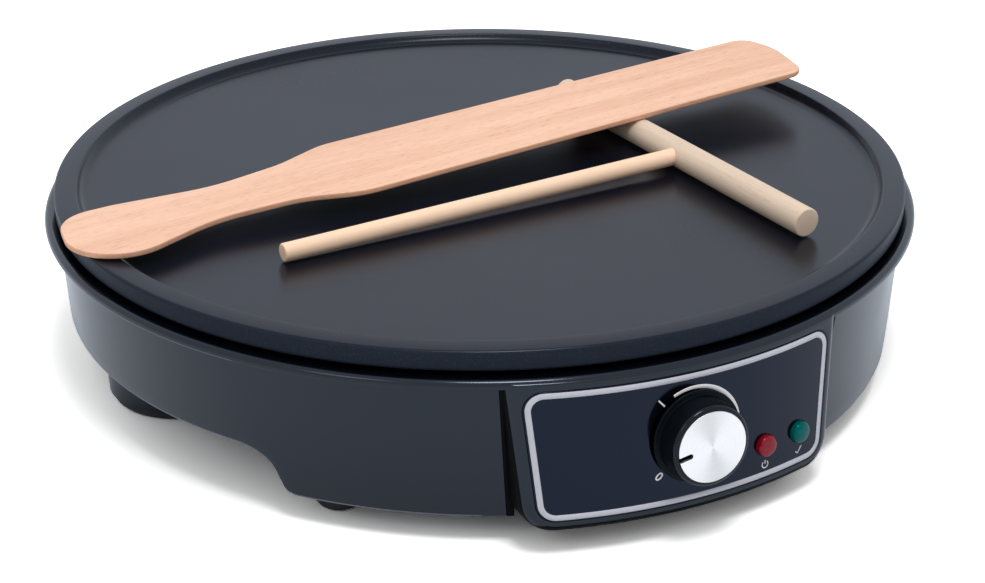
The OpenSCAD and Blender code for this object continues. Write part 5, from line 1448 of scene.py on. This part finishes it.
def build_base():
    """The base cover and what is fitted to the underside and the back."""
    dress(softened("base_cover"), "base", "housing_plastic", "base_cover")

    # Each pad and foot is turned, with a stud that goes into its leg
    pad_top, pad_stud, foot_top, foot_stud = 4 * MM, 3.9 * MM, 12 * MM, 2.9 * MM
    pad_profile = rounded([
        (0, 0, 0), (23.6 * MM, 0, 3.4 * MM), (24.3 * MM, pad_top, 0.4 * MM), (pad_stud, pad_top, 0),
        (pad_stud, 7.2 * MM, 0.6 * MM), (0, 7.2 * MM, 0)], 8)
    pad = turned("pad", pad_profile, "rubber_black", 128)
    pads = repeated("rubber_pads", pad, ring_points(115 * MM, (0, 90, 180), 0), "rubber_black")
    dress(pads, "base", "rubber_black", "leg_pads")

    foot_profile = rounded([
        (0, 0, 0), (7.7 * MM, 0, 3.3 * MM), (8.5 * MM, foot_top, 0.4 * MM), (foot_stud, foot_top, 0),
        (foot_stud, 14.2 * MM, 0), (3.5 * MM, 14.25 * MM, 0), (2.6 * MM, 17.2 * MM, 0),
        (0, 17.2 * MM, 0)], 8)
    foot = turned("foot", foot_profile, "rubber_black", 64)
    feet = repeated("rubber_feet", foot, ring_points(131 * MM, (225.6, 314.4), 0), "rubber_black")
    dress(feet, "base", "rubber_black", "front_feet")

    # The cover's screws sit lower in the deep front skirt
    cover_ring = 136 * MM
    spots = ring_points(cover_ring, (26, 64, 116, 154, 204, 336), 26 * MM)
    spots += ring_points(cover_ring, (240, 300), 12 * MM)
    screw = pan_screw(1.5 * MM, 11.2 * MM)
    screws = repeated("cover_screw_set", screw, spots, "zinc_steel", math.pi, 5)
    dress(screws, "base", "zinc_steel", "cover_screws")
    spots = ring_points(BOSS_RING, BOSS_TURNS, 28.2 * MM)
    screw = pan_screw(2 * MM, 30.8 * MM)
    screws = repeated("plate_screw_set", screw, spots, "zinc_steel", math.pi, 8)
    dress(screws, "base", "zinc_steel", "plate_screws")

    bore, head, head_thick, gland_length = 3.6 * MM, 9 * MM, 2.4 * MM, 20 * MM
    profile = rounded([
        (bore, 0, 0.5 * MM), (head, 0, 0.8 * MM), (head, head_thick, 0.1 * MM),
        (GLAND_RADIUS, head_thick, 0), (GLAND_RADIUS, gland_length, 0.3 * MM),
        (bore, gland_length, 0.3 * MM)], 5)
    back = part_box("cord_gland")[1][1]
    place = Matrix.Translation((0, back, GLAND_HEIGHT)) @ Matrix.Rotation(math.pi / 2, 4, "X")
    gland = turned("gland", np.vstack([profile, profile[:1]]), "nylon_black", 96, place)
    dress(gland, "base", "nylon_black", "cord_gland")


def build_inner():
    """Finishes for the inner parts that keep their CAD shapes."""
    slots = {row["node"]: row["material_slot"] for row in frame["record"]["subparts"]}
    for node, part in frame["nodes"].items():
        for held in part.material_slots:
            held.material = MATERIALS[slots[node]]


def build_spreader(maker):
    """The spreader's bar, and its handle leaning down to the cooking surface."""
    t = maker.tools
    soft = t.softness
    place = Matrix.Translation(Vector(t.bar_place)) @ Matrix.Rotation(t.bar_direction, 4, "Z")

    def dowel(name, radius, start, end, slot, matrix):
        """A dowel with softened ends, along Z from start to end."""
        bend = [(radius - soft + soft * math.sin(a), soft - soft * math.cos(a))
                for a in np.radians(range(0, 91, 15))]
        profile = [(0, start)] + [(r, start + z) for r, z in bend]
        profile += [(radius, start + (end - start) * k / 24) for k in range(1, 24)]
        profile += [(r, end - z) for r, z in bend[::-1]] + [(0, end)]
        return turned(name, profile, slot, 96, matrix, 50.0)

    along = Matrix.Rotation(math.pi / 2, 4, "Y")
    bar = dowel("bar", t.bar_radius, -t.bar_length / 2, t.bar_length / 2, "bar_wood", place @ along)
    dress(bar, "spreader", "spreader_wood", "spreader_bar", material="bar_wood")
    cook = maker.plate.rim_top - maker.plate.dish_depth
    drop = math.asin((t.bar_place[2] - (cook + t.handle_radius + LIE_GAP)) / t.handle_length)
    lean = Matrix.Translation((t.handle_place, 0, 0)) @ Matrix.Rotation(-math.pi / 2 - drop, 4, "X")
    handle = dowel("handle", t.handle_radius, -1.4 * MM, t.handle_length, "spreader_wood", place @ lean)
    dress(handle, "spreader", "spreader_wood", "spreader_handle")


def spatula_outline(t):
    """Outline of the spatula from its blade's end at X = 0 to its grip's end."""
    blade, grip = t.blade_length, t.spatula_length - t.blade_length
    half_blade, half_grip, half_end = t.blade_width / 2, t.grip_width / 2, t.grip_end / 2
    points = [(-0.5 * MM, half_blade - 1.5 * MM, 8), (2.5 * MM, 4 * MM, 30), (-4.5 * MM, -half_blade, 8),
              (-blade, -half_blade - 0.5 * MM, 34), (-blade - 0.2 * grip, -half_grip - 1 * MM, 40),
              (-blade - 0.52 * grip, -half_grip + 0.5 * MM, 60),
              (-blade - 0.84 * grip, -half_end - 3.5 * MM, 18),
              (-t.spatula_length - 3 * MM, -half_end + 9 * MM, 19),
              (-t.spatula_length + 3.5 * MM, half_end - 1 * MM, 13),
              (-blade - 0.76 * grip, half_end - 2 * MM, 40), (-blade - 0.42 * grip, half_grip - 1.6 * MM, 60),
              (-blade - 0.14 * grip, half_grip + 2 * MM, 40), (-blade + 6 * MM, half_blade + 0.5 * MM, 22)]
    outline = rounded([(x, y, r * MM) for x, y, r in points], 24)
    return outline[np.linalg.norm(outline - np.roll(outline, 1, axis=0), axis=1) > 1e-5]


def build_spatula(maker):
    """The spatula, lying on the plate's rim and on the spreader's bar."""
    t = maker.tools
    outline = spatula_outline(t)
    ahead = np.roll(outline, -1, axis=0) - np.roll(outline, 1, axis=0)
    inward = np.stack([ahead[:, 1], -ahead[:, 0]], axis=1) / np.linalg.norm(ahead, axis=1)[:, None]
    area = np.sum(outline[:, 0] * np.roll(outline[:, 1], -1) - np.roll(outline[:, 0], -1) * outline[:, 1])
    inward *= -1 if area > 0 else 1
    edge = quarter(t.softness, [0, 18, 36, 54, 72, 90])
    levels = edge + [(inset, t.spatula_thickness - z) for inset, z in edge[::-1]]
    loops = [np.column_stack([outline + inward * inset, np.full(len(outline), z)]) for inset, z in levels]
    spatula = clean(stack("wooden_spatula", loops), 50.0)

    # Tilted about the bar, so that its far side lies on the rim
    bar = Vector(t.bar_place)
    bar_top = bar.z + t.bar_radius + LIE_GAP
    bar_reach = -bar.x * math.sin(t.bar_direction) + bar.y * math.cos(t.bar_direction)
    tilt = math.atan((bar_top - maker.plate.rim_top - LIE_GAP) / (maker.plate.radius - bar_reach))
    place = (Matrix.Translation((bar.x, bar.y, bar_top)) @ Matrix.Rotation(t.bar_direction, 4, "Z")
             @ Matrix.Rotation(-tilt, 4, "X") @ Matrix.Rotation(-t.bar_direction, 4, "Z")
             @ Matrix.Translation((t.spatula_place[0] - bar.x, t.spatula_place[1] - bar.y, 0))
             @ Matrix.Rotation(t.spatula_direction, 4, "Z"))
    dress(spatula, "spatula", "spatula_wood", "spatula")
    # Painted shade: the upright sides take the darker copy of the wood
    paint(spatula, "spatula_painted_side_shade", lambda _, normal: abs(normal.z) < 0.6)
    spatula.data.transform(place)


# ---------------------------------------------------------------- studio

def build_floor(s):
    """A pale floor that is white where the camera or a gloss sees it."""
    half = 6.0
    floor = mesh_object("floor", [(-half, -half, 0), (half, -half, 0), (half, half, 0),
                                  (-half, half, 0)], [(0, 1, 2, 3)])
    material = bpy.data.materials.new("Pale floor")
    material.use_nodes = True
    tree = material.node_tree
    tree.nodes.clear()
    ray = add(tree, "ShaderNodeLightPath").outputs
    gloss = calc(tree, "MAXIMUM", ray["Is Glossy Ray"], ray["Is Transmission Ray"])
    cool = mix(tree, gloss, rgba(s.floor), rgba(s.floor_tone))
    tone = mix(tree, ray["Is Camera Ray"], cool, rgba(s.floor_seen))
    matt = add(tree, "ShaderNodeBsdfDiffuse", {"Color": tone})
    add(tree, "ShaderNodeOutputMaterial", {"Surface": matt.outputs[0]})
    floor.data.materials.append(material)


def build_sky(s):
    """A soft sky, brighter overhead, that is white to the camera and cool in a gloss."""
    world = bpy.data.worlds.new("Soft sky")
    world.use_nodes = True
    tree = world.node_tree
    tree.nodes.clear()
    ray = add(tree, "ShaderNodeLightPath").outputs
    gloss = calc(tree, "MAXIMUM", ray["Is Glossy Ray"], ray["Is Transmission Ray"])
    seen = calc(tree, "MAXIMUM", ray["Is Camera Ray"], gloss)
    direction = add(tree, "ShaderNodeTexCoord").outputs["Generated"]
    up = add(tree, "ShaderNodeSeparateXYZ", {0: direction}).outputs["Z"]
    soft = remap(tree, up, 0.0, 1.0, s.horizon, s.sky)
    sky = add(tree, "ShaderNodeBackground", {
        "Color": mix(tree, gloss, (1.0, 1.0, 1.0, 1.0), rgba(s.sky_tone)),
        "Strength": remap(tree, seen, 0.0, 1.0, soft, 1.0)})
    add(tree, "ShaderNodeOutputWorld", {"Surface": sky.outputs[0]})
    bpy.context.scene.world = world


def build_light(name, place, size, power):
    """A round soft light, aimed at the middle of the housing."""
    data = bpy.data.lights.new(name, "AREA")
    data.shape, data.size, data.energy = "DISK", size, power
    aim = Vector((0.0, 0.0, 0.06)) - Vector(place)
    lamp = linked(name, data)
    lamp.matrix_world = Matrix.Translation(place) @ aim.to_track_quat("-Z", "Y").to_matrix().to_4x4()


def build_camera(maker):
    """The camera, placed round the rim's middle and then panned, tilted and rolled."""
    s = maker.studio
    e = s.camera_rise
    place = Vector((0.0, -s.camera_distance * math.cos(e), s.camera_distance * math.sin(e)))
    forward = -place.normalized()
    right = forward.cross(Vector((0, 0, 1))).normalized()
    up = right.cross(forward)
    turn = Matrix.Rotation(s.camera_pan, 3, up)
    forward, right = turn @ forward, turn @ right
    turn = Matrix.Rotation(s.camera_tilt, 3, right)
    forward, up = turn @ forward, turn @ up
    turn = Matrix.Rotation(s.camera_roll, 3, forward)
    right, up = turn @ right, turn @ up
    basis = Matrix((right, up, -forward)).transposed().to_4x4()
    data = bpy.data.cameras.new("camera")
    data.sensor_width, data.lens = 36.0, s.lens
    data.clip_start, data.clip_end = 0.01, 30.0
    camera = linked("camera", data)
    camera.matrix_world = (Matrix.Translation((0, 0, maker.plate.rim_top))
                           @ Matrix.Rotation(s.camera_side, 4, "Z") @ Matrix.Translation(place) @ basis)
    bpy.context.scene.camera = camera


def build_stage(maker):
    """The floor, the sky, two soft lights and the camera."""
    s = maker.studio
    build_floor(s)
    build_sky(s)
    build_light("key_light", (-0.12, -0.55, 1.42), 0.45, s.key)
    build_light("side_light", (-1.1, -0.65, 1.0), 0.5, s.side_light)
    build_camera(maker)
    bpy.context.scene.view_settings.view_transform = "Standard"


# ---------------------------------------------------------------- operators and panel

class CREPE_OT_plate(bpy.types.Operator):
    """Build the coated cooking plate"""
    bl_idname = "crepe.plate"
    bl_label = "Cooking Plate"

    def execute(self, context):
        build_plate(context.scene.crepe_maker)
        return {"FINISHED"}


class CREPE_OT_housing(bpy.types.Operator):
    """Build the moulded housing with its flange and panel block"""
    bl_idname = "crepe.housing"
    bl_label = "Housing"

    def execute(self, context):
        build_housing(context.scene.crepe_maker)
        return {"FINISHED"}


class CREPE_OT_panel(bpy.types.Operator):
    """Build the inlaid panel, its silver border and its marks"""
    bl_idname = "crepe.panel"
    bl_label = "Control Panel"

    def execute(self, context):
        build_panel(context.scene.crepe_maker)
        return {"FINISHED"}


class CREPE_OT_dial(bpy.types.Operator):
    """Build the dial and its spun aluminium cap"""
    bl_idname = "crepe.dial"
    bl_label = "Dial"

    def execute(self, context):
        build_dial(context.scene.crepe_maker)
        return {"FINISHED"}


class CREPE_OT_lamps(bpy.types.Operator):
    """Build the lenses of both lamps"""
    bl_idname = "crepe.lamps"
    bl_label = "Lamps"

    def execute(self, context):
        build_lamps(context.scene.crepe_maker)
        return {"FINISHED"}


class CREPE_OT_base(bpy.types.Operator):
    """Build the base cover, pads, feet, screws and cord gland"""
    bl_idname = "crepe.base"
    bl_label = "Base and Feet"

    def execute(self, context):
        build_base()
        return {"FINISHED"}


class CREPE_OT_inner(bpy.types.Operator):
    """Finish the heating element, the thermostat and the other inner parts"""
    bl_idname = "crepe.inner"
    bl_label = "Inner Parts"

    def execute(self, context):
        build_inner()
        return {"FINISHED"}


class CREPE_OT_spreader(bpy.types.Operator):
    """Build the wooden batter spreader"""
    bl_idname = "crepe.spreader"
    bl_label = "Spreader"

    def execute(self, context):
        build_spreader(context.scene.crepe_maker)
        return {"FINISHED"}


class CREPE_OT_spatula(bpy.types.Operator):
    """Build the wooden spatula"""
    bl_idname = "crepe.spatula"
    bl_label = "Spatula"

    def execute(self, context):
        build_spatula(context.scene.crepe_maker)
        return {"FINISHED"}


class CREPE_OT_stage(bpy.types.Operator):
    """Set up the floor, the light and the camera"""
    bl_idname = "crepe.stage"
    bl_label = "Stage"

    def execute(self, context):
        build_stage(context.scene.crepe_maker)
        return {"FINISHED"}


OPERATORS = (CREPE_OT_stage, CREPE_OT_inner, CREPE_OT_plate, CREPE_OT_housing, CREPE_OT_panel,
             CREPE_OT_dial, CREPE_OT_lamps, CREPE_OT_base, CREPE_OT_spreader, CREPE_OT_spatula)


class CREPE_PT_pieces(bpy.types.Panel):
    """Pieces of the crepe maker"""
    bl_idname = "CREPE_PT_pieces"
    bl_label = "Crepe Maker"
    bl_space_type = "VIEW_3D"
    bl_region_type = "UI"
    bl_category = "Crepe Maker"

    def draw(self, _):
        """Lists a button for each operator."""
        for operator in OPERATORS:
            self.layout.operator(operator.bl_idname)


CLASSES = (CrepePlateSizes, CrepeHousingSizes, CrepePanelSizes, CrepeDialSizes, CrepeToolSizes,
           CrepeFinishes, CrepeStudio, CrepeMaker, *OPERATORS, CREPE_PT_pieces)


def register():
    """Adds the classes, and the maker's values to the scene."""
    for item in CLASSES:
        bpy.utils.register_class(item)
    bpy.types.Scene.crepe_maker = PointerProperty(type=CrepeMaker)


def unregister():
    """Takes the maker's values and the classes away again."""
    del bpy.types.Scene.crepe_maker
    for item in reversed(CLASSES):
        bpy.utils.unregister_class(item)


def main():
    """Builds every piece through its operator."""
    register()
    make_materials(bpy.context.scene.crepe_maker)
    for operator in OPERATORS:
        name = operator.bl_idname.split(".")[1]
        if getattr(bpy.ops.crepe, name)() != {"FINISHED"}:
            raise RuntimeError(name + " was not built")


if __name__ == "__main__":
    main()
